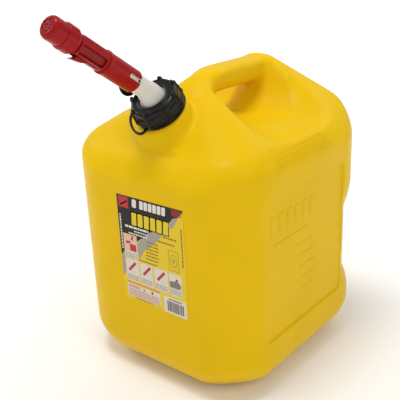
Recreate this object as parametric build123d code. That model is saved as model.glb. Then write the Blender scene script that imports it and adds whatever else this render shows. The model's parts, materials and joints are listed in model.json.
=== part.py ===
from build123d import *
import os

# Five-gallon fuel can with a spring-closing pour spout.
# Millimetres, +Z up. The origin is the centre of the flat base; the labelled front faces -Y.

# Can body
WIDTH = 266.0
DEPTH = 288.0
HEIGHT = 358.0
WALL = 2.5
PLAN_CORNER = 67.0
PLAN_SLACK = 0.02
BASE_ROUND = 48.0
FRONT_SHOULDER_Z = 270.0
REAR_SHOULDER_Z = 300.0
SIDE_SHOULDER_Z = 280.0
SHOULDER_ROUND = 32.0
RIDGE_FRONT_Y = -31.4
RIDGE_REAR_Y = 95.0
RIDGE_HALF_WIDTH = 24.0
RIDGE_ROUND = 16.0
RIDGE_END_ROUND = 34.0

# Handle: a bay in the roof on each side, meeting in one finger hole under the handle bar
SCOOP_FRONT_Y = -12.0
SCOOP_REAR_Y = 62.0
SCOOP_START_X = 18.0
SCOOP_FLARE_X = 62.0
SCOOP_FLARE_FRONT_Y = -54.0
SCOOP_FLARE_REAR_Y = 75.0
SCOOP_FLOOR_Z = 298.0
SCOOP_ROUND = 16.0
HANDLE_HALF_WIDTH = 18.5
HANDLE_UNDERSIDE_Z = 330.0
HANDLE_ROUND = 12.0

# Recesses: a shallow panel on each side, and a deeper grip at each rear corner
PANEL_FRONT_Y = -97.0
PANEL_REAR_Y = 74.0
PANEL_FLOOR_Z = 69.5
PANEL_TOP_Z = 240.0
PANEL_ROUND = 8.0
PANEL_DEPTH = 2.4
GRIP_DEPTH = 7.5
GRIP_LOW_Z = 63.0
GRIP_HIGH_Z = 200.0
GRIP_RAMP_LOW = 22.0
GRIP_RAMP_HIGH = 27.0

# Label
LABEL_LEFT_X = -37.0
LABEL_RIGHT_X = 62.0
LABEL_LOW_Z = 102.0
LABEL_HIGH_Z = 234.6
LABEL_THICKNESS = 0.3

# Neck: heights along the neck axis are counted from the lower rim of the collar nut
NECK_TILT_DEG = 38.0
NECK_ORIGIN_Y = -102.1
NECK_ORIGIN_Z = 328.8
NECK_BORE_R = 21.2
NECK_ROOT_R = 24.2
NECK_CREST_R = 26.2
NECK_TOP = 11.5
BOSS_TOP = -3.6
BOSS_FOOT = -21.0
BOSS_TOP_R = 31.0
BOSS_FOOT_R = 36.5
BOSS_INSIDE = -40.0

# Screw thread shared by the neck and the collar nut
THREAD_PITCH = 5.0
THREAD_TURNS = 1.5
THREAD_ROOT_WIDTH = 2.2
THREAD_CREST_WIDTH = 1.1
NECK_THREAD_START = 1.6
NUT_THREAD_START = 4.1

# Collar nut
NUT_HEIGHT = 19.0
NUT_BORE_R = 26.9
NUT_CREST_R = 24.9
NUT_OPENING_R = 15.6
NUT_PLATE_UNDERSIDE = 15.9
NUT_BASE_CORNER_R = 30.8
NUT_TOP_CORNER_R = 29.2
NUT_RIM_CORNER_R = 32.0
NUT_RIM_HEIGHT = 2.6
NUT_TURN_DEG = 15.0
NUT_TOP_RING_R = 25.7
NUT_SIDES = 8
NUT_LUG_R = 26.6

# Gasket and spout flange, clamped between the neck and the nut
GASKET_TOP = 13.0
FLANGE_TOP = 15.8
FLANGE_R = 23.6

# Spout: distances along the straight spout axis are counted from the end of the bend
SPOUT_BEND_DEG = 18.0
BEND_START = 17.5
BEND_RADIUS = 60.0
TUBE_FOOT_R = 14.2
TUBE_BEND_R = 13.6
TUBE_R = 9.4
TUBE_WALL = 1.6
TUBE_END = 36.0
BARREL_R = 9.4
BARREL_BORE_R = 7.7
BARREL_END = 121.5
SPIGOT_R = 7.6
SPIGOT_START = 24.0
SPIGOT_BORE_R = 6.0
BARREL_SHOULDER_START = 104.0
GUARD_START = 104.6
GUARD_END = 121.2
GUARD_R = 13.6
TIP_R = 12.0
TIP_END = 138.0
TIP_ROUND = 5.0
TIP_BORE_R = 9.6
TIP_WALL_START = 134.4
OUTLET_R = 5.6

# Sliding sleeve with its catch hook, window and guide slot
SLEEVE_START = 16.5
SLEEVE_END = 103.0
SLEEVE_R = 11.3
SLEEVE_BORE_R = 9.75
SLEEVE_TRAVEL = 14.0
WINDOW_START = 68.0
WINDOW_END = 96.0
WINDOW_WIDTH = 9.0
WINDOW_ANGLE_DEG = 113.0
SLOT_LENGTH = 17.2
SLOT_WIDTH = 5.0
SLOT_ANGLE_DEG = 88.0
PEG_STATION = 17.6
PEG_R = 1.5
HOOK_START = 70.0
HOOK_ROOT = 92.0
HOOK_TIP = 104.0
HOOK_HEIGHT = 15.6
HOOK_WIDTH = 5.0

# Valve train inside the barrel
CARRIER_START = 63.6
CARRIER_END = 68.0
CARRIER_R = 7.3
PIN_R = 1.4
ROD_R = 2.0
HEAD_START = 126.0
HEAD_END = 129.4
HEAD_R = 7.0
SEAL_END = 130.6
SEAT_START = 130.6
SPRING_MEAN_R = 5.6
SPRING_WIRE_R = 0.6
SPRING_COILS = 6

# Vent tube inside the spout
VENT_R = 2.6
VENT_BORE_R = 1.7
VENT_LOW = -44.0
VENT_END = 20.0

# Tether under the nut, with its eye and the storage stopper
TETHER_LOW = -3.2
TETHER_HIGH = -0.6
TETHER_BORE_R = 24.7
TETHER_R = 30.4
EYE_ANGLE_DEG = 226.0
STRAP_X = -36.5
STOPPER_R = 15.0
STOPPER_B = 10.0
STOPPER_H = 24.0
STOPPER_THICKNESS = 2.4
PLUG_R = 11.6
PLUG_DEPTH = 5.0

TURN = 360.0

neck_plane = Plane(
    origin=(0, NECK_ORIGIN_Y, NECK_ORIGIN_Z),
    x_dir=(1, 0, 0),
    z_dir=Vector(0, 0, 1).rotate(Axis.X, NECK_TILT_DEG),
)


def on_neck(shape):
    """Place a shape made about the Z axis on the neck axis."""
    return neck_plane.location * shape


def bend_plane(turned_deg):
    """The plane across the spout after the bend has turned by an angle, in neck coordinates."""
    centre = Vector(0, -BEND_RADIUS, BEND_START)
    spoke = Vector(0, BEND_RADIUS, 0).rotate(Axis.X, turned_deg)
    return Plane(
        origin=centre + spoke,
        x_dir=(1, 0, 0),
        z_dir=Vector(0, 0, 1).rotate(Axis.X, turned_deg),
    )


spout_plane = bend_plane(SPOUT_BEND_DEG)


def on_spout(shape):
    """Place a shape made about the Z axis on the straight part of the spout axis."""
    return neck_plane.location * (spout_plane.location * shape)


def rod(radius, low, high):
    """A round bar along Z."""
    return Pos(0, 0, low) * Cylinder(radius, high - low, align=(Align.CENTER, Align.CENTER, Align.MIN))


def ring(outer_r, inner_r, low, high):
    """A round tube along Z."""
    return rod(outer_r, low, high) - rod(inner_r, low - 1, high + 1)


def cone(low_r, high_r, low, high):
    """A cone frustum along Z."""
    return Pos(0, 0, low) * Cone(low_r, high_r, high - low, align=(Align.CENTER, Align.CENTER, Align.MIN))


def rounded_profile(corners, radii):
    """A closed face from corner points, each rounded by its own radius."""
    face = make_face(Polyline(*corners, close=True))
    for corner, radius in zip(corners, radii):
        vertex = face.vertices().sort_by_distance(Vector(*corner))[0]
        face = fillet(vertex, radius)
    return face


def side_profile():
    """The can seen from its side, drawn as (y, z)."""
    corners = [
        (-DEPTH / 2, 0),
        (-DEPTH / 2, FRONT_SHOULDER_Z),
        (RIDGE_FRONT_Y, HEIGHT),
        (RIDGE_REAR_Y, HEIGHT),
        (DEPTH / 2, REAR_SHOULDER_Z),
        (DEPTH / 2, 0),
    ]
    radii = [BASE_ROUND, SHOULDER_ROUND, RIDGE_END_ROUND, RIDGE_END_ROUND, SHOULDER_ROUND, BASE_ROUND]
    return rounded_profile(corners, radii)


def front_profile():
    """The can seen from its front, drawn as (x, z)."""
    corners = [
        (-WIDTH / 2, 0),
        (-WIDTH / 2, SIDE_SHOULDER_Z),
        (-RIDGE_HALF_WIDTH, HEIGHT),
        (RIDGE_HALF_WIDTH, HEIGHT),
        (WIDTH / 2, SIDE_SHOULDER_Z),
        (WIDTH / 2, 0),
    ]
    radii = [BASE_ROUND, SHOULDER_ROUND, RIDGE_ROUND, RIDGE_ROUND, SHOULDER_ROUND, BASE_ROUND]
    return rounded_profile(corners, radii)


def scoops(inset):
    """The bay that opens the roof on both sides of the handle bar, grown by an inset."""
    half_outline = [
        (0, SCOOP_FRONT_Y),
        (SCOOP_START_X, SCOOP_FRONT_Y),
        (SCOOP_FLARE_X, SCOOP_FLARE_FRONT_Y),
        (WIDTH / 2 + 10, SCOOP_FLARE_FRONT_Y),
        (WIDTH / 2 + 10, SCOOP_FLARE_REAR_Y),
        (SCOOP_FLARE_X, SCOOP_FLARE_REAR_Y),
        (SCOOP_START_X, SCOOP_REAR_Y),
        (0, SCOOP_REAR_Y),
    ]
    half = make_face(Polyline(*half_outline, close=True))
    outline = offset(half + mirror(half, about=Plane.YZ), inset, kind=Kind.INTERSECTION)
    floor_z = SCOOP_FLOOR_Z - inset
    bay = extrude(Plane.XY.offset(floor_z) * outline, HEIGHT - floor_z + 10)
    floor_edges = bay.faces().sort_by(Axis.Z)[0].edges()
    wall_edges = [edge for edge in floor_edges if abs(edge.center().X) < WIDTH / 2]
    bay = fillet(wall_edges, SCOOP_ROUND)
    bar_depth = HEIGHT - HANDLE_UNDERSIDE_Z + 20
    bar = RectangleRounded(
        2 * (HANDLE_HALF_WIDTH - inset), bar_depth, HANDLE_ROUND - inset
    )
    bar_plane = Plane(
        origin=(0, 0, HANDLE_UNDERSIDE_Z + inset + bar_depth / 2), x_dir=(1, 0, 0), z_dir=(0, -1, 0)
    )
    return bay - extrude(bar_plane * bar, DEPTH, both=True)


def side_panels(inset):
    """The shallow rectangular recess on each side face."""
    span_y = PANEL_REAR_Y - PANEL_FRONT_Y + 2 * inset
    span_z = PANEL_TOP_Z - PANEL_FLOOR_Z + 2 * inset
    middle_y = (PANEL_REAR_Y + PANEL_FRONT_Y) / 2
    middle_z = (PANEL_TOP_Z + PANEL_FLOOR_Z) / 2
    depth = PANEL_DEPTH + inset
    panels = []
    for side in (-1, 1):
        face = Plane(origin=(side * WIDTH / 2, middle_y, middle_z), x_dir=(0, side, 0), z_dir=(side, 0, 0))
        outline = face * RectangleRounded(span_y, span_z, PANEL_ROUND + inset)
        panels.append(extrude(outline, amount=10) + extrude(outline, amount=-depth))
    return panels


def corner_grips(inset):
    """The hand recess that wraps each rear vertical corner."""
    floor_r = PLAN_CORNER - GRIP_DEPTH - inset
    outside_r = PLAN_CORNER + 30
    low = GRIP_LOW_Z - inset
    high = GRIP_HIGH_Z + inset
    section = make_face(
        Polyline(
            (PLAN_CORNER + 1, low),
            (floor_r, low + GRIP_RAMP_LOW),
            (floor_r, high - GRIP_RAMP_HIGH),
            (PLAN_CORNER + 1, high),
            (outside_r, high),
            (outside_r, low),
            close=True,
        )
    )
    grips = []
    for side in (-1, 1):
        centre = (side * (WIDTH / 2 - PLAN_CORNER), DEPTH / 2 - PLAN_CORNER, 0)
        start_deg = 0 if side > 0 else 90
        swept = revolve(Plane.XZ * section, Axis.Z, 90)
        grips.append(Pos(*centre) * (Rot(0, 0, start_deg) * swept))
    return grips


def can_form(inset):
    """The closed outer form of the can, or the cavity inside it when inset by the wall."""
    side = extrude(Plane.YZ * offset(side_profile(), -inset), WIDTH / 2, both=True)
    front = extrude(Plane.XZ * offset(front_profile(), -inset), DEPTH / 2, both=True)
    plan_inset = inset + PLAN_SLACK
    outline = RectangleRounded(WIDTH - 2 * plan_inset, DEPTH - 2 * plan_inset, PLAN_CORNER - inset)
    plan = extrude(outline, HEIGHT)
    form = (side & front) & plan
    form -= scoops(inset)
    for panel in side_panels(inset):
        form -= panel
    for grip in corner_grips(inset):
        form -= grip
    return form


def screw_thread(start, root_r, crest_r, overlap):
    """A helical rib from root radius to crest radius, sunk a little into its wall."""
    inward = -1 if crest_r < root_r else 1
    path = Helix(pitch=THREAD_PITCH, height=THREAD_PITCH * THREAD_TURNS, radius=root_r)
    half_root = THREAD_ROOT_WIDTH / 2
    half_crest = THREAD_CREST_WIDTH / 2
    depth = abs(crest_r - root_r)
    begin = path @ 0
    section_plane = Plane(origin=begin, x_dir=(inward, 0, 0), z_dir=path % 0)
    section = section_plane * make_face(
        Polyline(
            (-overlap, -half_root),
            (depth, -half_crest),
            (depth, half_crest),
            (-overlap, half_root),
            close=True,
        )
    )
    return Pos(0, 0, start) * sweep(section, path, is_frenet=True)


def can_body():
    boss = cone(BOSS_FOOT_R, BOSS_TOP_R, BOSS_FOOT, BOSS_TOP) + rod(BOSS_FOOT_R, BOSS_INSIDE, BOSS_FOOT)
    lower_neck = rod(NECK_ROOT_R, BOSS_TOP, NECK_TOP)
    thread = screw_thread(NECK_THREAD_START, NECK_ROOT_R, NECK_CREST_R, 0.5)
    outer = can_form(0) + on_neck(boss) + on_neck(lower_neck)
    hollow = can_form(WALL)
    shell = outer - hollow - on_neck(rod(NECK_BORE_R, BOSS_INSIDE - 20, NECK_TOP + 1))
    trimmed_thread = thread & rod(NECK_CREST_R, NECK_THREAD_START - 3, NECK_TOP - 0.6)
    return shell + on_neck(trimmed_thread)


def front_label():
    sheet = RectangleRounded(LABEL_RIGHT_X - LABEL_LEFT_X, LABEL_HIGH_Z - LABEL_LOW_Z, 3)
    centre = ((LABEL_RIGHT_X + LABEL_LEFT_X) / 2, -DEPTH / 2, (LABEL_HIGH_Z + LABEL_LOW_Z) / 2)
    face = Plane(origin=centre, x_dir=(1, 0, 0), z_dir=(0, -1, 0))
    return extrude(face * sheet, LABEL_THICKNESS)


def octagon(corner_r, low, high, top_corner_r=None):
    """An eight-sided prism along Z, tapered when the top radius is given."""
    foot = Plane.XY.offset(low) * RegularPolygon(corner_r, NUT_SIDES, rotation=NUT_TURN_DEG)
    if top_corner_r is None:
        return extrude(foot, high - low)
    head = Plane.XY.offset(high) * RegularPolygon(top_corner_r, NUT_SIDES, rotation=NUT_TURN_DEG)
    return loft([foot, head])


def collar_nut():
    outside = octagon(NUT_BASE_CORNER_R, 0, NUT_HEIGHT - 2.4, NUT_TOP_CORNER_R)
    outside += octagon(NUT_RIM_CORNER_R, 0, NUT_RIM_HEIGHT)
    outside += cone(NUT_TOP_RING_R + 1, NUT_TOP_RING_R - 2, NUT_HEIGHT - 2.4, NUT_HEIGHT)
    for number in range(NUT_SIDES):
        corner = Rot(0, 0, NUT_TURN_DEG + number * TURN / NUT_SIDES)
        face_centre = Rot(0, 0, NUT_TURN_DEG + (number + 0.5) * TURN / NUT_SIDES)
        lug = Pos(NUT_LUG_R, 0, NUT_HEIGHT - 0.6) * Box(2.6, 3.0, 4.2)
        panel = Pos(NUT_BASE_CORNER_R - 2.1, 0, 9.2) * Box(1.6, 16.5, 9.6)
        outside += corner * lug
        outside -= face_centre * panel
    inside = rod(NUT_BORE_R, -1, NUT_PLATE_UNDERSIDE) + rod(NUT_OPENING_R, 0, NUT_HEIGHT + 3)
    thread = screw_thread(NUT_THREAD_START, NUT_BORE_R, NUT_CREST_R, 0.5)
    thread &= rod(NUT_BORE_R + 1, NUT_THREAD_START - 3, NUT_PLATE_UNDERSIDE - 1.5)
    return on_neck(outside - inside + thread)


def neck_gasket():
    return on_neck(ring(NECK_ROOT_R - 0.2, NECK_BORE_R - 0.2, NECK_TOP, GASKET_TOP))


def bent_tube(foot_r, bend_r, end_r):
    """A tapering tube core that follows the bend, from the flange to the straight part."""
    steps = 4
    sections = [Plane.XY.offset(GASKET_TOP) * Circle(foot_r)]
    for step in range(steps + 1):
        share = step / steps
        radius = bend_r + (end_r - bend_r) * share
        sections.append(bend_plane(SPOUT_BEND_DEG * share) * Circle(radius))
    return loft(sections)


def spout_tube():
    flange = rod(FLANGE_R, GASKET_TOP, FLANGE_TOP)
    plug = ring(NECK_BORE_R - 1.0, NECK_BORE_R - 3.0, GASKET_TOP - 8, GASKET_TOP)
    straight = spout_plane.location * rod(TUBE_R, 0, TUBE_END)
    outside = flange + bent_tube(TUBE_FOOT_R, TUBE_BEND_R, TUBE_R) + straight
    bore = bent_tube(TUBE_FOOT_R - TUBE_WALL, TUBE_BEND_R - TUBE_WALL, TUBE_R - TUBE_WALL)
    bore += spout_plane.location * rod(TUBE_R - TUBE_WALL, 0, TUBE_END + 1)
    peg_hole = spout_plane.location * radial_bar(PEG_R, PEG_STATION, SLOT_ANGLE_DEG, 5, SLEEVE_R)
    return neck_plane.location * (outside + plug - bore - peg_hole)


def radial_bar(radius, station, angle_deg, inner, outer):
    """A round bar that stands out from the spout axis at an angle counted from its top side."""
    upright = Plane(origin=(0, inner, station), x_dir=(1, 0, 0), z_dir=(0, 1, 0))
    bar = extrude(upright * Circle(radius), outer - inner)
    return Rot(0, 0, -angle_deg) * bar


def guide_peg():
    peg = radial_bar(PEG_R - 0.02, PEG_STATION, SLOT_ANGLE_DEG, TUBE_R - TUBE_WALL + 0.2, SLEEVE_R - 0.4)
    return on_spout(peg)


def vent_tube():
    bore_r = TUBE_R - TUBE_WALL
    straight = spout_plane.location * ring(VENT_R, VENT_BORE_R, 0, VENT_END)
    lower = ring(VENT_R, VENT_BORE_R, VENT_LOW, BEND_START)
    wheel = Plane.XY.offset(BEND_START) * (Circle(VENT_R) - Circle(VENT_BORE_R))
    bend = revolve(wheel, Axis((0, -BEND_RADIUS, BEND_START), (1, 0, 0)), SPOUT_BEND_DEG)
    tube = lower + bend + straight
    for number in range(3):
        fin_place = Pos(0, (VENT_R + bore_r) / 2 - 0.2, VENT_END / 2)
        fin = fin_place * Box(1.2, bore_r - VENT_R - 0.1, VENT_END - 8)
        tube += spout_plane.location * (Rot(0, 0, number * TURN / 3) * fin)
    return neck_plane.location * tube


def inner_barrel():
    spigot = ring(SPIGOT_R, SPIGOT_BORE_R, SPIGOT_START, TUBE_END + 2)
    barrel = ring(BARREL_R, BARREL_BORE_R, TUBE_END + 2, BARREL_END)
    collar = ring(BARREL_R, SPIGOT_BORE_R, TUBE_END, TUBE_END + 2)
    shoulder = ring(BARREL_R + 1.0, BARREL_R - 0.5, BARREL_SHOULDER_START - 0.4, GUARD_START)
    body = spigot + collar + barrel + shoulder
    groove = ring(SPIGOT_R + 1, SPIGOT_R - 0.9, SPIGOT_START + 4, SPIGOT_START + 6.2)
    middle = (CARRIER_START + CARRIER_END) / 2
    slot_low = middle - SLEEVE_TRAVEL - PIN_R - 0.5
    slot_high = middle + PIN_R + 0.5
    slot = Pos(0, 0, (slot_low + slot_high) / 2) * Box(2 * PIN_R + 0.6, 4 * BARREL_R, slot_high - slot_low)
    return on_spout(body - groove - slot)


def barrel_o_ring():
    seal = Pos(0, 0, SPIGOT_START + 5.1) * Torus(SPIGOT_R - 0.15, 0.7)
    limit = rod(TUBE_R - TUBE_WALL, SPIGOT_START, TUBE_END)
    return on_spout(seal & limit)


def guard_ring():
    """The stepped ring behind the tip, coned at its rear, with a flat lug on each side."""
    section = make_face(
        Polyline(
            (BARREL_R + 0.05, GUARD_START),
            (BARREL_R + 1.4, GUARD_START),
            (GUARD_R, GUARD_START + 4),
            (GUARD_R, GUARD_END - 0.8),
            (GUARD_R - 0.8, GUARD_END),
            (BARREL_R + 0.05, GUARD_END),
            close=True,
        )
    )
    return on_spout(revolve(Plane.XZ * section, Axis.Z))


def nozzle_tip():
    shell = rod(TIP_R, GUARD_END, TIP_END)
    front_edge = shell.edges().sort_by(Axis.Z)[-1]
    shell = fillet(front_edge, TIP_ROUND)
    shell -= rod(TIP_BORE_R, GUARD_END + 2, TIP_WALL_START)
    shell -= rod(BARREL_R + 0.05, GUARD_END - 1, GUARD_END + 3)
    shell -= rod(OUTLET_R, TIP_WALL_START - 1, TIP_END + 1)
    bars = Pos(0, 0, TIP_END - 2.2) * Box(1.4, 2 * OUTLET_R + 1, 2.4)
    shell += bars + Rot(0, 0, 90) * bars
    return on_spout(shell)


def valve_seat():
    return on_spout(ring(TIP_BORE_R - 0.02, 4.6, SEAT_START, TIP_WALL_START))


def valve_carrier():
    body = rod(CARRIER_R, CARRIER_START, CARRIER_END)
    for number in range(4):
        body -= Rot(0, 0, 45 + number * 90) * (Pos(5.0, 0, 0) * rod(1.7, CARRIER_START - 1, CARRIER_END + 1))
    middle = (CARRIER_START + CARRIER_END) / 2
    cross_hole = Pos(0, 0, middle) * (Rot(90, 0, 0) * Cylinder(PIN_R, 4 * CARRIER_R))
    return on_spout(body - cross_hole)


def cross_pin():
    middle = (CARRIER_START + CARRIER_END) / 2
    return on_spout(Pos(0, 0, middle) * (Rot(90, 0, 0) * Cylinder(PIN_R - 0.02, 2 * SLEEVE_R - 1.2)))


def valve_rod():
    return on_spout(rod(ROD_R, CARRIER_END, HEAD_START))


def valve_head():
    disc = rod(HEAD_R, HEAD_START, HEAD_END)
    return on_spout(disc)


def valve_seal():
    return on_spout(ring(HEAD_R - 0.2, 2.0, HEAD_END, SEAL_END))


def return_spring():
    low = TUBE_END + 3.2
    high = CARRIER_START - 0.2
    wire = 2 * SPRING_WIRE_R
    height = high - low - wire
    path = Helix(pitch=height / SPRING_COILS, height=height, radius=SPRING_MEAN_R)
    section = Plane(origin=path @ 0, z_dir=path % 0) * Circle(SPRING_WIRE_R)
    coil = sweep(section, path, is_frenet=True)
    return on_spout(Pos(0, 0, low + SPRING_WIRE_R) * coil)


def spring_washer():
    return on_spout(ring(BARREL_BORE_R - 0.1, 4.6, TUBE_END + 2, TUBE_END + 3))


def outer_sleeve():
    tube = ring(SLEEVE_R, SLEEVE_BORE_R, SLEEVE_START, SLEEVE_END)
    window = Pos(0, SLEEVE_R, (WINDOW_START + WINDOW_END) / 2) * Box(
        WINDOW_WIDTH, 8, WINDOW_END - WINDOW_START
    )
    tube -= Rot(0, 0, -WINDOW_ANGLE_DEG) * window
    slot = Pos(0, SLEEVE_R, SLEEVE_START + SLOT_LENGTH / 2 - 1) * Box(SLOT_WIDTH, 8, SLOT_LENGTH + 2)
    tube -= Rot(0, 0, -SLOT_ANGLE_DEG) * slot
    middle = (CARRIER_START + CARRIER_END) / 2
    tube -= Pos(0, 0, middle) * (Rot(90, 0, 0) * Cylinder(PIN_R, 4 * SLEEVE_R))
    tongue_gap = Pos(0, -SLEEVE_R, (HOOK_START + SLEEVE_END) / 2) * Box(
        HOOK_WIDTH + 1.6, 8, SLEEVE_END - HOOK_START + 2
    )
    return on_spout(tube - tongue_gap)


def catch_hook():
    """The spring tongue in the sleeve's underside, ending in a barb that points forward."""
    inner = SLEEVE_BORE_R + 0.1
    outline = make_face(
        Polyline(
            (-inner, HOOK_START - 1),
            (-SLEEVE_R, HOOK_START - 1),
            (-SLEEVE_R, HOOK_ROOT - 4),
            (-(SLEEVE_R + 1.4), HOOK_ROOT),
            (-HOOK_HEIGHT, HOOK_TIP),
            (-inner, HOOK_TIP - 5),
            close=True,
        )
    )
    tongue = extrude(Plane.YZ * outline, HOOK_WIDTH / 2, both=True)
    return on_spout(tongue)


def tether_ring():
    """The loose ring under the nut, with its round eye and the upright strap."""
    band = ring(TETHER_R, TETHER_BORE_R, TETHER_LOW, TETHER_HIGH)
    eye = Rot(0, 0, EYE_ANGLE_DEG) * (Pos(29.5, 0, 0) * ring(9.6, 7.2, TETHER_LOW, TETHER_HIGH))
    eye -= rod(TETHER_BORE_R, TETHER_LOW - 1, TETHER_HIGH + 1)
    arm_length = abs(STRAP_X) + 1.0 - TETHER_BORE_R - 1
    arm = Pos(STRAP_X + arm_length / 2 - 1, STOPPER_B, (TETHER_LOW + TETHER_HIGH) / 2) * Box(
        arm_length, 7, TETHER_HIGH - TETHER_LOW
    )
    arm -= rod(TETHER_BORE_R, TETHER_LOW - 1, TETHER_HIGH + 1)
    strap_top = STOPPER_H - STOPPER_R + 1.5
    strap = Pos(STRAP_X, STOPPER_B, (TETHER_LOW + strap_top) / 2) * Box(2, 7, strap_top - TETHER_LOW)
    return on_neck(band + eye + arm + strap)


def stopper_disc():
    """The storage plug: a disc with a hollow skirt that faces away from the neck."""
    along = Plane(origin=(STRAP_X - 1.0, STOPPER_B, STOPPER_H), x_dir=(0, 1, 0), z_dir=(-1, 0, 0))
    disc = extrude(along * Circle(STOPPER_R), STOPPER_THICKNESS)
    skirt = extrude(along * (Circle(PLUG_R) - Circle(PLUG_R - 1.8)), PLUG_DEPTH)
    return on_neck(disc + skirt)


PARTS = (
    can_body,
    front_label,
    collar_nut,
    neck_gasket,
    spout_tube,
    vent_tube,
    guide_peg,
    inner_barrel,
    barrel_o_ring,
    guard_ring,
    nozzle_tip,
    valve_seat,
    valve_carrier,
    cross_pin,
    valve_rod,
    valve_head,
    valve_seal,
    return_spring,
    spring_washer,
    outer_sleeve,
    catch_hook,
    tether_ring,
    stopper_disc,
)

os.makedirs("parts", exist_ok=True)
for make_part in PARTS:
    export_step(make_part(), f"parts/{make_part.__name__}.step")
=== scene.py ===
import math

import bpy
import numpy as np
from mathutils import Matrix, Vector
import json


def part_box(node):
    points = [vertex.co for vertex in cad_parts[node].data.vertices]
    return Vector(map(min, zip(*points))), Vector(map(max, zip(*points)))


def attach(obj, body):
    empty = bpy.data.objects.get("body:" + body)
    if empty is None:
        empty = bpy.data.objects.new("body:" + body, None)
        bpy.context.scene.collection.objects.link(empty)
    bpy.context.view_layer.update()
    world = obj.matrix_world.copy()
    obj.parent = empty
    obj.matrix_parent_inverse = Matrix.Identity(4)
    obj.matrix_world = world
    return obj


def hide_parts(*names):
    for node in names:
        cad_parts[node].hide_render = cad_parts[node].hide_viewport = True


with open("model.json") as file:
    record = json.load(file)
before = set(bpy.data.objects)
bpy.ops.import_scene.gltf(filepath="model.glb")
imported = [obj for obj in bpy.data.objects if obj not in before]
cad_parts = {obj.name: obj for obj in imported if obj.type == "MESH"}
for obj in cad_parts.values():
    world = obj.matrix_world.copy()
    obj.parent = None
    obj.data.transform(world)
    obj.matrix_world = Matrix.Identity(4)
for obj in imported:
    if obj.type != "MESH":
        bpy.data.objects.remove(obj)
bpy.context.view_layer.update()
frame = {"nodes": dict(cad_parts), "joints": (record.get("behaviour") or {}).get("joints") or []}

# Lengths are in millimetres here and become metres when a mesh is placed.
MM = 0.001
joints = {joint["name"]: joint for joint in frame["joints"]}

# Can body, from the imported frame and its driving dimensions
_, body_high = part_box("can_body")
HALF_WIDTH = body_high.x / MM
HALF_DEPTH = body_high.y / MM
HEIGHT = 358.0
PLAN_CORNER = 67.0
BASE_ROUND = 48.0
FRONT_SHOULDER_Z = 270.0
SIDE_SHOULDER_Z = 280.0
REAR_SHOULDER_Z = 300.0
RIDGE_HALF_WIDTH = 24.0
RIDGE_REAR_Y = 95.0
FRONT_HIP_REACH = 27.0
REAR_HIP_REACH = 14.0
RIDGE_REACH = 6.0
SHOULDER_REACH = 17.0
BODY_STEP = 2.0

# Flat at each lower corner, square to a direction in plan
CORNER_FLAT_X = 0.681
CORNER_FLAT_Y = 0.732
CORNER_FLAT_R = 132.5
CORNER_FLAT_SCALE = 0.707

# Handle bar, and the bay on each side of it
HANDLE_HALF_WIDTH = 18.5
HANDLE_HALF_HEIGHT = 40.0
HANDLE_MIDDLE_Z = 370.0
HANDLE_CORNER = 12.0
HANDLE_REACH = 9.0
BAY_FLOOR_Z = 298.0
BAY_START_X = 18.0
BAY_END_X = 116.0
BAY_START_FRONT_Y = -20.0
BAY_START_REAR_Y = 62.0
BAY_FRONT_RUN = Vector((44.0, -34.0)).normalized()
BAY_REAR_RUN = Vector((44.0, 13.0)).normalized()
BAY_FRONT_LIMIT_Y = -54.0
BAY_REAR_LIMIT_Y = 75.0
BAY_DRAFT = 0.48
BAY_FLOOR_INSET = 8.0
BAY_WALL_REACH = 20.0
BAY_END_REACH = 40.0
BAY_MIDDLE_REACH = 12.0
BAY_FLOOR_REACH = 30.0
BAY_INNER_REACH = 10.0
BAY_REACH_GAIN = 28.0
BAY_GAIN_START_X = 50.0
BAY_GAIN_RUN = 50.0

# Side panels and rear hand grips
PANEL_DEPTH = 2.4
PANEL_MIDDLE_Y = -11.5
PANEL_MIDDLE_Z = 154.75
PANEL_HALF_LENGTH = 85.5
PANEL_HALF_HEIGHT = 85.25
PANEL_CORNER = 8.0
GRIP_DEPTH = 7.5
GRIP_LOW_Z = 85.0
GRIP_LOW_RUN = 22.0
GRIP_HIGH_Z = 173.0
GRIP_HIGH_RUN = 27.0
GRIP_REACH = 3.0

# Boss under the neck, from the neck's origin, and the pocket for the neck's bore
BOSS_DROP = 3.6
BOSS_R = 31.0
BOSS_SPREAD = 0.316
BOSS_LEAN = 0.55
BOSS_SPREAD_DROP = 30
BOSS_SCALE = 0.95
BOSS_DEPTH = 60.0
POCKET_R = 22.7
POCKET_DEPTH = 50.0

# Neck and spout axes
NECK_TILT = math.radians(38.0)
SPOUT_BEND = math.radians(18.0)
BEND_START = 17.5
BEND_RADIUS = 60.0
PART_STEP = 0.55

neck_origin = Vector(joints["collar_turn"]["pos_m"])
neck_axis = Vector(joints["collar_turn"]["axis"])
cross_axis = Vector((1, 0, 0))


def axes_matrix(origin, along):
    """A frame in metres with +X across the can and its Z along an axis."""
    up = along.normalized()
    side = up.cross(cross_axis)
    turn = Matrix((cross_axis, side, up)).transposed()
    return Matrix.Translation(origin) @ turn.to_4x4()


can_place = Matrix.Identity(4)
neck_place = axes_matrix(neck_origin, neck_axis)
bend_end = Vector((
    0,
    BEND_RADIUS * (math.cos(SPOUT_BEND) - 1),
    BEND_START + BEND_RADIUS * math.sin(SPOUT_BEND),
))
spout_axis = -Vector(joints["sleeve_slide"]["axis"])
spout_place = axes_matrix(neck_place @ (bend_end * MM), spout_axis)


# ---- fields and meshes

def round_max(a, b, reach):
    """Intersection of two fields, with the edge between them rounded."""
    rounded = np.hypot(np.maximum(a + reach, 0), np.maximum(b + reach, 0))
    return np.minimum(-reach, np.maximum(a, b)) + rounded


def round_min(a, b, reach):
    """Union of two fields, with the corner between them filled."""
    return -round_max(-a, -b, reach)


def cut(a, b, reach):
    """The first field with the second taken out of it."""
    return round_max(a, -b, reach)


def band(value, low, high):
    """Negative between two limits."""
    return np.maximum(low - value, value - high)


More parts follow.
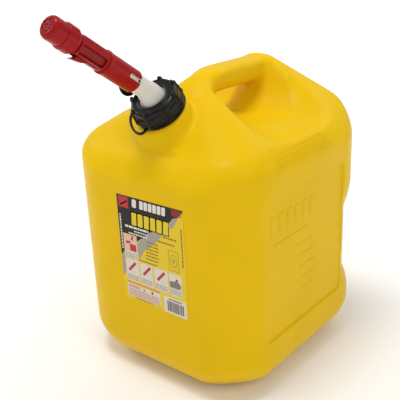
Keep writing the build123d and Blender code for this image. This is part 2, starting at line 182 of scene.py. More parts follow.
def rect(u, v, half_u, half_v, corner):
    """A rounded rectangle about the origin of (u, v)."""
    du = np.abs(u) - half_u + corner
    dv = np.abs(v) - half_v + corner
    return np.hypot(np.maximum(du, 0), np.maximum(dv, 0)) + np.minimum(np.maximum(du, dv), 0) - corner


def polygon(u, v, points):
    """Signed distance to a closed polygon in (u, v)."""
    distance = np.full(np.broadcast(u, v).shape, 1e9)
    sign = np.ones_like(distance)
    for (au, av), (bu, bv) in zip(points, points[1:] + points[:1]):
        eu, ev = bu - au, bv - av
        wu, wv = u - au, v - av
        share = np.clip((wu * eu + wv * ev) / (eu * eu + ev * ev), 0, 1)
        distance = np.minimum(distance, np.hypot(wu - eu * share, wv - ev * share))
        hit = (av <= v) != (bv <= v)
        left = eu * wv / (ev if ev else 1e-9) + au > u
        sign = np.where(hit & left, -sign, sign)
    return distance * sign


def surface_points(field, low, high, step):
    """One point in each grid cell that the zero surface passes, and the quads between them."""
    low = np.array(low, float)
    counts = [int(math.ceil((h - l) / step)) + 1 for l, h in zip(low, high)]
    axes = [l + step * np.arange(n) for l, n in zip(low, counts)]
    x, y, z = np.meshgrid(*axes, indexing="ij", sparse=True)
    values = np.broadcast_to(field(x, y, z), counts)
    inside = values < 0
    size = [n - 1 for n in counts]
    corners = [(i, j, k) for i in (0, 1) for j in (0, 1) for k in (0, 1)]
    filled = sum(
        inside[i:i + size[0], j:j + size[1], k:k + size[2]].astype(np.int8) for i, j, k in corners
    )
    cells = np.argwhere((filled > 0) & (filled < 8))
    number = np.full(size, -1)
    number[tuple(cells.T)] = np.arange(len(cells))
    total = np.zeros((len(cells), 3))
    hits = np.zeros(len(cells))
    for start in corners:
        for axis in range(3):
            if start[axis]:
                continue
            end = list(start)
            end[axis] = 1
            a = values[tuple((cells + start).T)]
            b = values[tuple((cells + end).T)]
            crossed = (a < 0) != (b < 0)
            share = np.where(crossed, a / np.where(crossed, a - b, 1), 0)
            point = np.tile(np.array(start, float), (len(cells), 1))
            point[:, axis] += share
            total += point * crossed[:, None]
            hits += crossed
    points = low + step * (cells + total / hits[:, None])
    return points, surface_quads(inside, number)


def surface_quads(inside, number):
    """A quad round every grid edge whose two ends differ."""
    quads = []
    for axis in range(3):
        one, two = (axis + 1) % 3, (axis + 2) % 3
        lower = np.take(inside, range(inside.shape[axis] - 1), axis)
        upper = np.take(inside, range(1, inside.shape[axis]), axis)
        for leaving in (True, False):
            edges = np.argwhere((lower & ~upper) if leaving else (upper & ~lower))
            kept = (edges[:, one] > 0) & (edges[:, two] > 0)
            kept &= (edges[:, one] < number.shape[one]) & (edges[:, two] < number.shape[two])
            edges = edges[kept]
            ring = []
            for back_one, back_two in ((1, 1), (0, 1), (0, 0), (1, 0)):
                cell = edges.copy()
                cell[:, one] -= back_one
                cell[:, two] -= back_two
                ring.append(number[tuple(cell.T)])
            quad = np.stack(ring, 1)
            quads.append(quad if leaving else quad[:, ::-1])
    return np.concatenate(quads)


def field_slope(field, points, reach):
    """Gradient of a field at loose points."""
    slope = np.zeros_like(points)
    for axis in range(3):
        shift = np.zeros(3)
        shift[axis] = reach
        ahead = field(*(points + shift).T)
        behind = field(*(points - shift).T)
        slope[:, axis] = (ahead - behind) / (2 * reach)
    return slope


def settle(field, points, step, rounds):
    """Move points along the gradient onto the zero surface."""
    for _ in range(rounds):
        slope = field_slope(field, points, 0.02 * step)
        value = field(*points.T)
        move = slope * (value / np.maximum((slope ** 2).sum(1), 0.05))[:, None]
        length = np.linalg.norm(move, axis=1)
        points = points - move * np.minimum(1, step / np.maximum(length, 1e-9))[:, None]
    return points


def even_out(points, quads, amount):
    """Slide points towards the mean of their neighbours."""
    first = quads.ravel()
    second = np.roll(quads, -1, 1).ravel()
    count = np.bincount(first, minlength=len(points)) + np.bincount(second, minlength=len(points))
    mean = np.zeros_like(points)
    for axis in range(3):
        mean[:, axis] = np.bincount(first, points[second, axis], len(points))
        mean[:, axis] += np.bincount(second, points[first, axis], len(points))
    mean /= np.maximum(count, 1)[:, None]
    return points + amount * (mean - points)


def add_object(name, data):
    """A new object in the scene."""
    obj = bpy.data.objects.new(name, data)
    bpy.context.scene.collection.objects.link(obj)
    return obj


def add_mesh(name, points, faces, place, normals=None):
    """A mesh object from points in mm, put in place in metres. A mirrored place turns its faces round."""
    matrix = np.array(place)
    if np.linalg.det(matrix[:3, :3]) < 0:
        faces = [face[::-1] for face in faces]
    world = (points * MM) @ matrix[:3, :3].T + matrix[:3, 3]
    mesh = bpy.data.meshes.new(name)
    mesh.from_pydata(world.tolist(), [], [list(face) for face in faces])
    mesh.shade_smooth()
    if normals is not None:
        turned = normals @ matrix[:3, :3].T
        turned /= np.maximum(np.linalg.norm(turned, axis=1), 1e-9)[:, None]
        mesh.normals_split_custom_set_from_vertices(turned.tolist())
    return add_object(name, mesh)


def moulded(name, field, low, high, step, place):
    """A closed moulded shape from its field, with evenly spread points and true normals."""
    points, quads = surface_points(field, low, high, step)
    points = settle(field, points, step, 2)
    for _ in range(3):
        points = settle(field, even_out(points, quads, 0.5), step, 2)
    normals = field_slope(field, points, 0.25 * step)
    return add_mesh(name, points, quads.tolist(), place, normals)


def swept_ring(profile, path, sides, bulge):
    """A closed profile of (radius, station) carried round a path that may bend."""
    angles = np.arange(sides) * 2 * math.pi / sides
    rows = []
    for radius, station in profile:
        origin, across, upward = path(station)
        grown = radius + bulge(angles, station, radius)
        sideways = np.outer(grown * np.sin(angles), across)
        rows.append(origin + sideways + np.outer(grown * np.cos(angles), upward))
    points = np.concatenate(rows)
    faces = []
    for row in range(len(profile)):
        after = (row + 1) % len(profile)
        here, there = row * sides, after * sides
        for side in range(sides):
            turn = (side + 1) % sides
            faces.append((here + side, there + side, there + turn, here + turn))
    return points, faces


# ---- materials

def shader(name, roughness, **sockets):
    """A new node material and its main shader, with sockets that are the same all over."""
    material = bpy.data.materials.new(name)
    material.use_nodes = True
    nodes = material.node_tree.nodes
    principled = nodes["Principled BSDF"]
    principled.inputs["Roughness"].default_value = roughness
    for socket, value in sockets.items():
        principled.inputs[socket.replace("_", " ")].default_value = value
    return material, principled


def noise(material, scale, detail=4.0, stretch=(1, 1, 1), distortion=0.0):
    """A noise pattern in object space, in cells per metre."""
    nodes, links = material.node_tree.nodes, material.node_tree.links
    place = nodes.new("ShaderNodeTexCoord")
    mapping = nodes.new("ShaderNodeMapping")
    mapping.inputs["Scale"].default_value = stretch
    pattern = nodes.new("ShaderNodeTexNoise")
    pattern.inputs["Scale"].default_value = scale
    pattern.inputs["Detail"].default_value = detail
    pattern.inputs["Distortion"].default_value = distortion
    links.new(place.outputs["Object"], mapping.inputs["Vector"])
    links.new(mapping.outputs["Vector"], pattern.inputs["Vector"])
    return pattern.outputs["Fac"]


def ramp(material, value, stops):
    """Colours or greys along a value."""
    nodes, links = material.node_tree.nodes, material.node_tree.links
    node = nodes.new("ShaderNodeValToRGB")
    elements = node.color_ramp.elements
    for element, (position, colour) in zip(elements, (stops[0], stops[-1])):
        element.position = position
        element.color = as_rgba(colour)
    for position, colour in stops[1:-1]:
        elements.new(position).color = as_rgba(colour)
    links.new(value, node.inputs["Fac"])
    return node.outputs["Color"]


def as_rgba(colour):
    """A grey level or an RGB triple as an RGBA colour."""
    if isinstance(colour, (int, float)):
        return (colour, colour, colour, 1)
    return (*colour, 1)


def add_bumps(material, principled, layers):
    """Bump layers of (value, strength, height in metres), one on top of another."""
    nodes, links = material.node_tree.nodes, material.node_tree.links
    normal = None
    for value, strength, height in layers:
        bump = nodes.new("ShaderNodeBump")
        bump.inputs["Strength"].default_value = strength
        bump.inputs["Distance"].default_value = height
        links.new(value, bump.inputs["Height"])
        if normal is not None:
            links.new(normal, bump.inputs["Normal"])
        normal = bump.outputs["Normal"]
    links.new(normal, principled.inputs["Normal"])


def vary_colour(material, principled, value, colour, dark, light):
    """A base colour that goes from a darker to a lighter shade along a value."""
    darker = tuple(c * dark for c in colour)
    lighter = tuple(min(1, c * light) for c in colour)
    shade = ramp(material, value, [(0.3, darker), (0.7, lighter)])
    material.node_tree.links.new(shade, principled.inputs["Base Color"])


def plastic(name, colour, roughness, variation, grain, grain_height, scuffs, **sockets):
    """Moulded plastic: slight colour drift, fine grain, and scuffs that dull the gloss."""
    material, principled = shader(name, roughness, **sockets)
    vary_colour(material, principled, noise(material, 14, 3), colour, 1 - variation, 1 + variation)
    scratches = noise(material, 260, 6, stretch=(1, 1, 0.12), distortion=0.6)
    stops = [(0.35, roughness - scuffs / 3), (0.62, roughness), (0.78, roughness + scuffs)]
    material.node_tree.links.new(ramp(material, scratches, stops), principled.inputs["Roughness"])
    fine = noise(material, grain, 2)
    wave = noise(material, 30, 2)
    add_bumps(material, principled, [(wave, 0.25, 0.0006), (fine, 0.35, grain_height)])
    return material


def paint(obj, material):
    """Give an object one material in place of what it has."""
    obj.data.materials.clear()
    obj.data.materials.append(material)


def dress(obj, material, slot, body, *nodes):
    """Give a piece its material and its body, and hide the CAD nodes that it stands for. The slot is not
    used.
    """
    paint(obj, material)
    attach(obj, body)
    if nodes:
        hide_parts(*nodes)


can_yellow = plastic(
    "can_yellow", (0.82, 0.520, 0.004), roughness=0.36, variation=0.03, grain=700, grain_height=0.00004,
    scuffs=0.14, Subsurface_Weight=0.12, Subsurface_Scale=0.004, Specular_IOR_Level=0.06,
)
black_plastic = plastic(
    "black_plastic", (0.0040, 0.0036, 0.0030), roughness=0.23, variation=0.15, grain=1500,
    grain_height=0.00003, scuffs=0.16, Specular_IOR_Level=0.26,
)
spout_red = plastic(
    "spout_red", (0.33, 0.0035, 0.0065), roughness=0.24, variation=0.06, grain=1400,
    grain_height=0.00002, scuffs=0.12, Specular_IOR_Level=0.17,
)
# The inner barrel shows only through the sleeve's window. Its colour is the spout's red plastic, made
# darker and browner with painted shade and painted reflection.
barrel_shaded_red = plastic(
    "barrel_shaded_red", (0.25, 0.012, 0.010), roughness=0.42, variation=0.08, grain=1400,
    grain_height=0.00002, scuffs=0.10, Specular_IOR_Level=0.2,
)
tube_white = plastic(
    "tube_white", (0.72, 0.68, 0.60), roughness=0.34, variation=0.04, grain=1200,
    grain_height=0.00002, scuffs=0.10, Subsurface_Weight=0.25, Subsurface_Scale=0.003,
)
seal_rubber = plastic(
    "seal_rubber", (0.02, 0.02, 0.02), roughness=0.65, variation=0.15, grain=2000,
    grain_height=0.00004, scuffs=0.10,
)
valve_plastic = plastic(
    "valve_plastic", (0.60, 0.58, 0.52), roughness=0.4, variation=0.05, grain=1400,
    grain_height=0.00002, scuffs=0.10,
)
steel = plastic(
    "steel", (0.60, 0.60, 0.60), roughness=0.28, variation=0.05, grain=3000,
    grain_height=0.00001, scuffs=0.18, Metallic=1.0,
)


# ---- can body

def slope_plane(value, z, edge, edge_z, ridge, ridge_z):
    """A sloping roof plane through an outer edge and a ridge line."""
    run, rise = edge - ridge, ridge_z - edge_z
    length = math.hypot(run, rise)
    return (rise * (value - edge) + run * (z - edge_z)) / length


def roof_field(x, y, z):
    """The front, side and rear slopes, rounded into each other and into the ridge."""
    front_ridge_y = HALF_DEPTH - (HEIGHT - FRONT_SHOULDER_Z) / math.tan(NECK_TILT)
    front = slope_plane(-y, z, HALF_DEPTH, FRONT_SHOULDER_Z, front_ridge_y, HEIGHT)
    side = slope_plane(x, z, HALF_WIDTH, SIDE_SHOULDER_Z, RIDGE_HALF_WIDTH, HEIGHT)
    rear = slope_plane(y, z, HALF_DEPTH, REAR_SHOULDER_Z, RIDGE_REAR_Y, HEIGHT)
    roof = round_max(front, side, FRONT_HIP_REACH)
    roof = round_max(roof, rear, REAR_HIP_REACH)
    return round_max(roof, z - HEIGHT, RIDGE_REACH)


def bay_field(x, y, z):
    """The bay on each side of the handle bar: a flat floor, flaring walls, and large fillets."""
    draft = BAY_DRAFT * (z - BAY_FLOOR_Z) - BAY_FLOOR_INSET
    out = x - BAY_START_X
    front = BAY_FRONT_RUN.y * out - BAY_FRONT_RUN.x * (y - BAY_START_FRONT_Y)
    rear = -BAY_REAR_RUN.y * out + BAY_REAR_RUN.x * (y - BAY_START_REAR_Y)
    front_side = round_max(front - draft, BAY_FRONT_LIMIT_Y - y - draft, BAY_WALL_REACH)
    rear_side = round_max(rear - draft, y - BAY_REAR_LIMIT_Y - draft, BAY_WALL_REACH)
    end = x - BAY_END_X
    front_half = round_max(front_side, end, BAY_END_REACH)
    rear_half = round_max(rear_side, end, BAY_END_REACH)
    walls = round_max(front_half, rear_half, BAY_MIDDLE_REACH)
    return round_max(walls, BAY_FLOOR_Z - z, BAY_FLOOR_REACH)


def grip_field(x, y, z):
    """The hand recess that wraps a rear vertical corner."""
    across = x - (HALF_WIDTH - PLAN_CORNER)
    behind = y - (HALF_DEPTH - PLAN_CORNER)
    below = (GRIP_LOW_Z - z) / GRIP_LOW_RUN
    above = (z - GRIP_HIGH_Z) / GRIP_HIGH_RUN
    ramp_share = np.maximum(np.maximum(below, above), 0)
    floor_r = PLAN_CORNER - GRIP_DEPTH + ramp_share * (GRIP_DEPTH + 1)
    recess = floor_r - np.hypot(across, behind)
    return round_max(round_max(recess, -behind, GRIP_REACH), -across, GRIP_REACH)


def boss_field(x, y, z):
    """The cone under the neck, which bulges down the front slope, and the pocket for the neck's bore."""
    dy = y - neck_origin.y / MM
    dz = z - neck_origin.z / MM
    height = neck_axis.y * dy + neck_axis.z * dz
    back = neck_axis.z * dy - neck_axis.y * dz
    drop = np.clip(-BOSS_DROP - height, 0, BOSS_SPREAD_DROP)
    ring_r = np.hypot(x, back + BOSS_LEAN * drop)
    boss = round_max((ring_r - BOSS_R - BOSS_SPREAD * drop) * BOSS_SCALE, height + BOSS_DROP, 3.0)
    boss = np.maximum(boss, -BOSS_DEPTH - height)
    pocket = np.maximum(np.hypot(x, back) - POCKET_R, -POCKET_DEPTH - height)
    return boss, pocket


def can_field(x, y, z):
    """The whole outer form of the can, with both sides alike."""
    x = np.abs(x)
    walls = rect(x, y, HALF_WIDTH, HALF_DEPTH, PLAN_CORNER)
    form = round_max(walls, roof_field(x, y, z), SHOULDER_REACH)
    form = round_max(form, -z, BASE_ROUND)
    corner_out = CORNER_FLAT_X * x + CORNER_FLAT_Y * np.abs(y)
    form = round_max(form, CORNER_FLAT_SCALE * (corner_out - CORNER_FLAT_R - z), 8.0)
    handle = rect(x, z - HANDLE_MIDDLE_Z, HANDLE_HALF_WIDTH, HANDLE_HALF_HEIGHT, HANDLE_CORNER)
    handle = round_max(handle, form, HANDLE_REACH)
    bay_reach = BAY_INNER_REACH + BAY_REACH_GAIN * np.clip((x - BAY_GAIN_START_X) / BAY_GAIN_RUN, 0, 1)
    form = cut(form, bay_field(x, y, z), bay_reach)
    form = round_min(form, handle, HANDLE_REACH)
    panel = rect(y - PANEL_MIDDLE_Y, z - PANEL_MIDDLE_Z, PANEL_HALF_LENGTH, PANEL_HALF_HEIGHT, PANEL_CORNER)
    form = cut(form, round_max(panel, HALF_WIDTH - PANEL_DEPTH - x, 1.2), 1.6)
    form = cut(form, grip_field(x, y, z), 4.0)
    boss, pocket = boss_field(x, y, z)
    return np.maximum(round_min(form, boss, 4.5), -pocket)


def add_can():
    """The can's skin, made in a box that leaves room round it."""
    room = 6.0
    low = (-HALF_WIDTH - room, -HALF_DEPTH - room, -room)
    high = (HALF_WIDTH + room, HALF_DEPTH + room, HEIGHT + room)
    shell = moulded("can_shell", can_field, low, high, BODY_STEP, can_place)
    dress(shell, can_yellow, "can_yellow", "can", "can_body")


add_can()


# ---- neck, nut and tether

# Threads. A rib makes its field steeper than a distance, so the field is scaled down.
THREAD_PITCH = 5.0
THREAD_TURNS = 1.5
RIB_HALF_WIDTH = 1.1
RIB_FLANK = 0.55
RIB_RUN_OUT = 0.25
THREAD_SCALE = 0.8

# Neck
NECK_R = 24.2
NECK_BORE_R = 21.2
NECK_FOOT = -9.0
NECK_RIM = 11.5
NECK_THREAD_START = 1.6
NECK_THREAD_DEPTH = 2.0
NECK_EDGE = 0.6

# Nut, with heights from its base
NUT_SIDES = 8
NUT_TURN = math.radians(15.0)
NUT_SLICE = 2 * math.pi / NUT_SIDES
NUT_HEIGHT = 19.0
NUT_FACE_DROP = 0.8
NUT_FLAT_R = 28.4
NUT_CORNER_R = 30.3
NUT_DRAFT = 0.085
NUT_CORNER_DRAFT = 0.09
NUT_RIM_FLAT_R = 29.5
NUT_RIM_CORNER_R = 31.8
NUT_RIM_HEIGHT = 2.6
CROWN_R = 27.6
CROWN_HEIGHT = 16.2
CROWN_OUT = 0.62
CROWN_UP = 0.78
NUT_PANEL_HEIGHT = 9.0
SUNK_FACE_R = 27.85
PLATE_FACE_R = 28.15
PLATE_BACK_R = 27.0
NUT_RIB_HEIGHT = 9.4
NUT_RIB_R = 31.3
NUT_RIB_DRAFT = 0.08
LUG_MIDDLE_R = 26.4
LUG_FOOT = 15.0
LUG_TOP = 20.4
LIP_R = 17.2
LIP_HEIGHT = 18.0
LIP_SECTION_R = 1.25
NUT_BORE_R = 26.5
NUT_BORE_TOP = 11.6
NUT_THREAD_START = 4.1
NUT_THREAD_DEPTH = 1.7
NUT_SEAT_R = 24.2
NUT_SEAT_TOP = 15.9
NUT_OPENING_R = 15.6

# Tether, with heights from the nut's base
TETHER_MIDDLE = -1.9
TETHER_HALF_THICKNESS = 1.25
TETHER_R = 30.2
TETHER_HOLE_R = 24.8
EYE_ANGLE = math.radians(229.0)
EYE_MIDDLE_R = 28.5
EYE_HALF_WIDTH = 9.2
EYE_HALF_LENGTH = 20.5
EYE_SLOPE_WIDTH = 84.6
EYE_SLOPE_LENGTH = 420.0
EYE_SECTION_R = 1.35
ARM_X = -31.2
STRAP_X = -36.5
STRAP_Y = 10.0
STRAP_HALF_WIDTH = 3.5
STRAP_FOOT = -3.0
STRAP_TOP = 12.0

# Stopper, across the strap
STOPPER_HEIGHT = 24.0
STOPPER_FACE_X = -37.5
STOPPER_R = 15.0
STOPPER_THICKNESS = 2.4
SKIRT_R = 11.5
SKIRT_BORE_R = 9.8
SKIRT_DEPTH = 5.0
STOPPER_RIM_R = 13.9
STOPPER_RIM_SECTION_R = 1.05


def thread_rise(x, y, height, start, depth):
    """How far a helical rib stands out at a place, with tapered ends."""
    angle = np.mod(np.arctan2(y, x), 2 * math.pi)
    rise = np.zeros(np.broadcast(angle, height).shape)
    for lap in range(2):
        turned = angle + 2 * math.pi * lap
        off_centre = np.abs(height - start - THREAD_PITCH * turned / (2 * math.pi))
        shape = np.clip((RIB_HALF_WIDTH - off_centre) / RIB_FLANK, 0, 1)
        to_end = np.minimum(turned, 2 * math.pi * THREAD_TURNS - turned)
        run_out = np.clip(to_end / RIB_RUN_OUT, 0, 1)
        rise = np.maximum(rise, depth * shape * run_out)
    return rise


def neck_field(x, y, h):
    """The threaded neck of the can."""
    r = np.hypot(x, y)
    outer = r - NECK_R - thread_rise(x, y, h, NECK_THREAD_START, NECK_THREAD_DEPTH)
    wall = round_max(outer * THREAD_SCALE, NECK_BORE_R - r, NECK_EDGE)
    return round_max(wall, band(h, NECK_FOOT, NECK_RIM), NECK_EDGE)


def add_neck():
    """The neck, which belongs to the can."""
    neck = moulded("neck_finish", neck_field, (-27, -27, -10), (27, 27, 13), PART_STEP, neck_place)
    dress(neck, can_yellow, "can_yellow", "can")


def nut_outside(r, out, corner_out, h):
    """The tapered eight-sided wall with its coned crown and the wider rim at its foot."""
    side = out - NUT_FLAT_R + NUT_DRAFT * h
    body = round_max(side, corner_out - NUT_CORNER_R + NUT_CORNER_DRAFT * h, 0.8)
    crown = CROWN_OUT * (r - CROWN_R) + CROWN_UP * (h - CROWN_HEIGHT)
    body = round_max(round_max(body, crown, 0.8), h - NUT_HEIGHT + NUT_FACE_DROP, 0.7)
    rim = round_max(out - NUT_RIM_FLAT_R, corner_out - NUT_RIM_CORNER_R, 0.5)
    rim = np.maximum(rim, h - NUT_RIM_HEIGHT)
    return round_min(body, round_max(rim, band(h, 0, NUT_RIM_HEIGHT), 0.5), 0.5)


def nut_panels(body, out, along, h):
    """A sunk panel on each flat, with a raised plate in it."""
    up = h - NUT_PANEL_HEIGHT
    sunk = round_max(rect(along, up, 8.3, 5.2, 1.0), SUNK_FACE_R - NUT_DRAFT * h - out, 0.3)
    body = cut(body, sunk, 0.3)
    plate = round_max(rect(along, up, 6.2, 3.4, 0.8), out - PLATE_FACE_R + NUT_DRAFT * h, 0.2)
    return np.minimum(body, round_max(plate, PLATE_BACK_R - out, 0.2))


def nut_corners(body, corner_out, corner_along, h):
    """A rib up each corner and a small lug above it."""
    rib = rect(corner_along, h - NUT_RIB_HEIGHT, 1.1, 8.4, 0.4)
    rib = round_max(rib, corner_out - NUT_RIB_R + NUT_RIB_DRAFT * h, 0.35)
    body = round_min(body, rib, 0.4)
    lug = rect(corner_out - LUG_MIDDLE_R, corner_along, 1.5, 1.7, 0.6)
    return round_min(body, round_max(lug, band(h, LUG_FOOT, LUG_TOP), 0.8), 0.7)


def nut_field(x, y, h):
    """The whole nut: its outside, its lipped opening, and the bore with its thread."""
    r = np.hypot(x, y)
    angle = np.mod(np.arctan2(y, x) - NUT_TURN, NUT_SLICE) - NUT_SLICE / 2
    corner_angle = np.abs(angle) - NUT_SLICE / 2
    out, along = r * np.cos(angle), r * np.sin(angle)
    corner_out, corner_along = r * np.cos(corner_angle), r * np.sin(corner_angle)
    body = nut_outside(r, out, corner_out, h)
    body = nut_panels(body, out, along, h)
    body = nut_corners(body, corner_out, corner_along, h)
    body = round_min(body, np.hypot(r - LIP_R, h - LIP_HEIGHT) - LIP_SECTION_R, 0.6)
    thread = thread_rise(x, y, h, NUT_THREAD_START, NUT_THREAD_DEPTH)
    bore = round_max(r - NUT_BORE_R + thread, h - NUT_BORE_TOP, 0.4)
    bore = np.minimum(bore, round_max(r - NUT_SEAT_R, h - NUT_SEAT_TOP, 0.4))
    body = np.maximum(body, -bore * THREAD_SCALE)
    body = cut(body, r - NUT_OPENING_R, 0.6)
    return round_max(body, -h, 0.5)


def add_nut():
    """The nut that holds the spout on the neck."""
    nut = moulded("collar_nut_skin", nut_field, (-33.5, -33.5, -1), (33.5, 33.5, 22), PART_STEP, neck_place)
    dress(nut, black_plastic, "black_plastic", "collar", "collar_nut")


def eye_field(x, y, r):
    """The long eye beside the ring, in plan. The slope terms make its value close to a distance."""
    out = x * math.cos(EYE_ANGLE) + y * math.sin(EYE_ANGLE) - EYE_MIDDLE_R
    along = -x * math.sin(EYE_ANGLE) + y * math.cos(EYE_ANGLE)
    level = np.sqrt((out / EYE_HALF_WIDTH) ** 2 + (along / EYE_HALF_LENGTH) ** 2) + 1e-6
    slope = np.hypot(out / EYE_SLOPE_WIDTH, along / EYE_SLOPE_LENGTH) / level + 1e-6
    return np.maximum(np.abs((level - 1) / slope) - EYE_SECTION_R, TETHER_HOLE_R - r)


def tether_field(x, y, h):
    """The loose ring under the nut, its long eye, the arm and the upright strap."""
    r = np.hypot(x, y)
    ring = round_max(r - TETHER_R, TETHER_HOLE_R - r, 0.3)
    arm = np.maximum(rect(x - ARM_X, y - STRAP_Y, 6.2, STRAP_HALF_WIDTH, 1.0), TETHER_HOLE_R - r)
    plan = round_min(round_min(ring, eye_field(x, y, r), 1.0), arm, 1.0)
    lower = round_max(plan, np.abs(h - TETHER_MIDDLE) - TETHER_HALF_THICKNESS, 0.5)
    strap = rect(x - STRAP_X, y - STRAP_Y, 1.0, STRAP_HALF_WIDTH, 0.8)
    strap = round_max(strap, band(h, STRAP_FOOT, STRAP_TOP), 0.5)
    return round_min(lower, strap, 1.0)


def stopper_field(x, y, h):
    """The storage plug on the strap: a rimmed disc with a hollow skirt facing away from the neck."""
    r = np.hypot(y - STRAP_Y, h - STOPPER_HEIGHT)
    away = STOPPER_FACE_X - x
    disc = round_max(r - STOPPER_R, band(away, 0, STOPPER_THICKNESS), 0.7)
    skirt = round_max(r - SKIRT_R, SKIRT_BORE_R - r, 0.4)
    skirt = round_max(skirt, band(away, 0, SKIRT_DEPTH), 0.4)
    rim = np.hypot(r - STOPPER_RIM_R, away - 0.9) - STOPPER_RIM_SECTION_R
    return round_min(round_min(disc, skirt, 0.8), rim, 0.4)


def add_tether():
    """The tether's ring and strap, and the stopper on it."""
    ring = moulded("tether_skin", tether_field, (-45, -45, -4), (32, 32, 13), PART_STEP, neck_place)
    dress(ring, black_plastic, "black_plastic", "tether", "tether_ring")
    disc = moulded("stopper_skin", stopper_field, (-44, -7, 7), (-36, 27, 41), PART_STEP, neck_place)
    dress(disc, black_plastic, "black_plastic", "tether", "stopper_disc")


# ---- spout

# Sleeve and hook, with stations along the spout from the end of its bend
SLEEVE_START = 16.5
SLEEVE_END = 103.6
SLEEVE_R = 11.3
SLEEVE_BORE_R = 9.75
SWELL = 1.15
SWELL_END = 63.0
BORE_SWELL = 1.05
BORE_SWELL_END = 58.0
SWELL_RUN = 3
WINDOW_ANGLE = 113.0
WINDOW_MIDDLE = 84.5
FRAME_MIDDLE = 85.0
FRAME_RISE = 0.75
RAIL_ANGLES = (42.0, -42.0)
RAIL_MIDDLE = 82.0
RAIL_RISE = 0.9
GRIP_BAND_MIDDLE = 62.0
GRIP_BAND_RISE = 0.9
SLOT_ANGLE = 88.0
SLOT_OFFSET = 3.6
TONGUE_ANGLE = 180.0
TONGUE_MIDDLE = 90.0
HOOK_HALF_WIDTH = 3.0

# Guard ring and tip
GUARD_START = 104.4
GUARD_END = 121.2
GUARD_R = 12.7
GUARD_BORE_R = 9.5
CONE_STATION = 106.4
CONE_OUT = 0.75
CONE_BACK = 0.66
TAB_ANGLES = (8.0, 188.0)
TAB_R = 13.6
TAB_START = 107.5
TAB_END = 119.5
TIP_R = 12.0
TIP_END = 138.0
TIP_FACE_R = 7.4
TIP_FACE = 136.9
TIP_FLOOR = 134.0
FIN_SLICE = math.pi / 5
FIN_TOP = 137.6
BAR_TOP = 137.0
OUTLET_R = 2.6
TIP_SOCKET_R = 9.45
TIP_SOCKET_END = 124.0
TIP_HOLLOW_R = 9.6
TIP_HOLLOW_START = 123.2

# Tube, with radii, and stations along the spout's path from the nut's base
FLANGE_FOOT = 13.0
FLANGE_TOP = 15.8
FLANGE_R = 23.6
TAPER_START = 17.0
TAPER_STEPS = 14
TUBE_FOOT_R = 14.1
TUBE_R = 10.4
TUBE_FOOT_BORE_R = 12.5
TUBE_BORE_R = 7.8
TUBE_STRAIGHT = 36.0
CREASE_START = 16.5
CREASE_END = 52
CREASE_ANGLE = math.radians(104.0)
CREASE_HEIGHT = 0.28
CREASE_WIDTH = 0.035
CREASE_LEAST_R = 9


def around(x, y, degrees):
    """Coordinates (along the skin, outwards) for a place on the spout, with angles counted from its top."""
    angle = math.radians(degrees)
    out = x * math.sin(angle) + y * math.cos(angle)
    along = x * math.cos(angle) - y * math.sin(angle)
    return along, out


def sleeve_bar(x, y, t, degrees, middle, half_width, half_length, rise, reach):
    """A bar that stands proud of the sleeve, on the side that an angle gives."""
    along, out = around(x, y, degrees)
    r = np.hypot(x, y)
    bar = round_max(rect(along, t - middle, half_width, half_length, 1.6), r - SLEEVE_R - rise, reach)
    return np.maximum(np.maximum(bar, SLEEVE_BORE_R - r), -out)


def sleeve_hole(x, y, t, degrees, middle, half_width, half_length, corner):
    """A rounded opening through one side of the sleeve."""
    along, out = around(x, y, degrees)
    return np.maximum(rect(along, t - middle, half_width, half_length, corner), -out)


def sleeve_field(x, y, t):
    """The sliding sleeve: window in a raised frame, guide slot, grip band, side rails and tongue gap."""
    r = np.hypot(x, y)
    swell = SWELL * np.clip((SWELL_END - t) / SWELL_RUN, 0, 1)
    bore = SLEEVE_BORE_R + BORE_SWELL * np.clip((BORE_SWELL_END - t) / SWELL_RUN, 0, 1)
    tube = round_max(r - SLEEVE_R - swell, bore - r, 0.25)
    frame_bar = sleeve_bar(x, y, t, WINDOW_ANGLE, FRAME_MIDDLE, 6.6, 19.0, FRAME_RISE, 0.6)
    tube = round_min(tube, frame_bar, 0.5)
    for degrees in RAIL_ANGLES:
        rail = sleeve_bar(x, y, t, degrees, RAIL_MIDDLE, 2.2, 19.5, RAIL_RISE, 0.7)
        tube = round_min(tube, rail, 0.6)
    over = np.maximum(r - SLEEVE_R - GRIP_BAND_RISE, 0)
    grip_band = np.hypot(over, np.maximum(np.abs(t - GRIP_BAND_MIDDLE) - 1.2, 0)) - 0.7
    tube = round_min(tube, np.maximum(grip_band, SLEEVE_BORE_R - r), 0.6)
    tube = round_max(tube, band(t, SLEEVE_START, SLEEVE_END), 0.4)
    tube = cut(tube, sleeve_hole(x, y, t, WINDOW_ANGLE, WINDOW_MIDDLE, 5.0, 16.5, 0.8), 0.4)
    slot_middle = SLEEVE_START + SLOT_OFFSET
    tube = cut(tube, sleeve_hole(x, y, t, SLOT_ANGLE, slot_middle, 2.5, 13.6, 1.2), 0.3)
    return cut(tube, sleeve_hole(x, y, t, TONGUE_ANGLE, TONGUE_MIDDLE, 3.9, 20.0, 0.5), 0.3)


def hook_field(x, y, t):
    """The catch: a tongue along the underside that ends in a forward-pointing barb."""
    outline = [
        (-9.85, 69.0), (-11.3, 69.0), (-11.3, 84.0), (-13.6, 89.0), (-14.6, 95.0),
        (-15.9, 104.0), (-12.4, 99.0), (-9.85, 97.5),
    ]
    profile = polygon(y, t, outline)
    return round_max(profile + 0.15, np.abs(x) - HOOK_HALF_WIDTH, 0.4) - 0.05


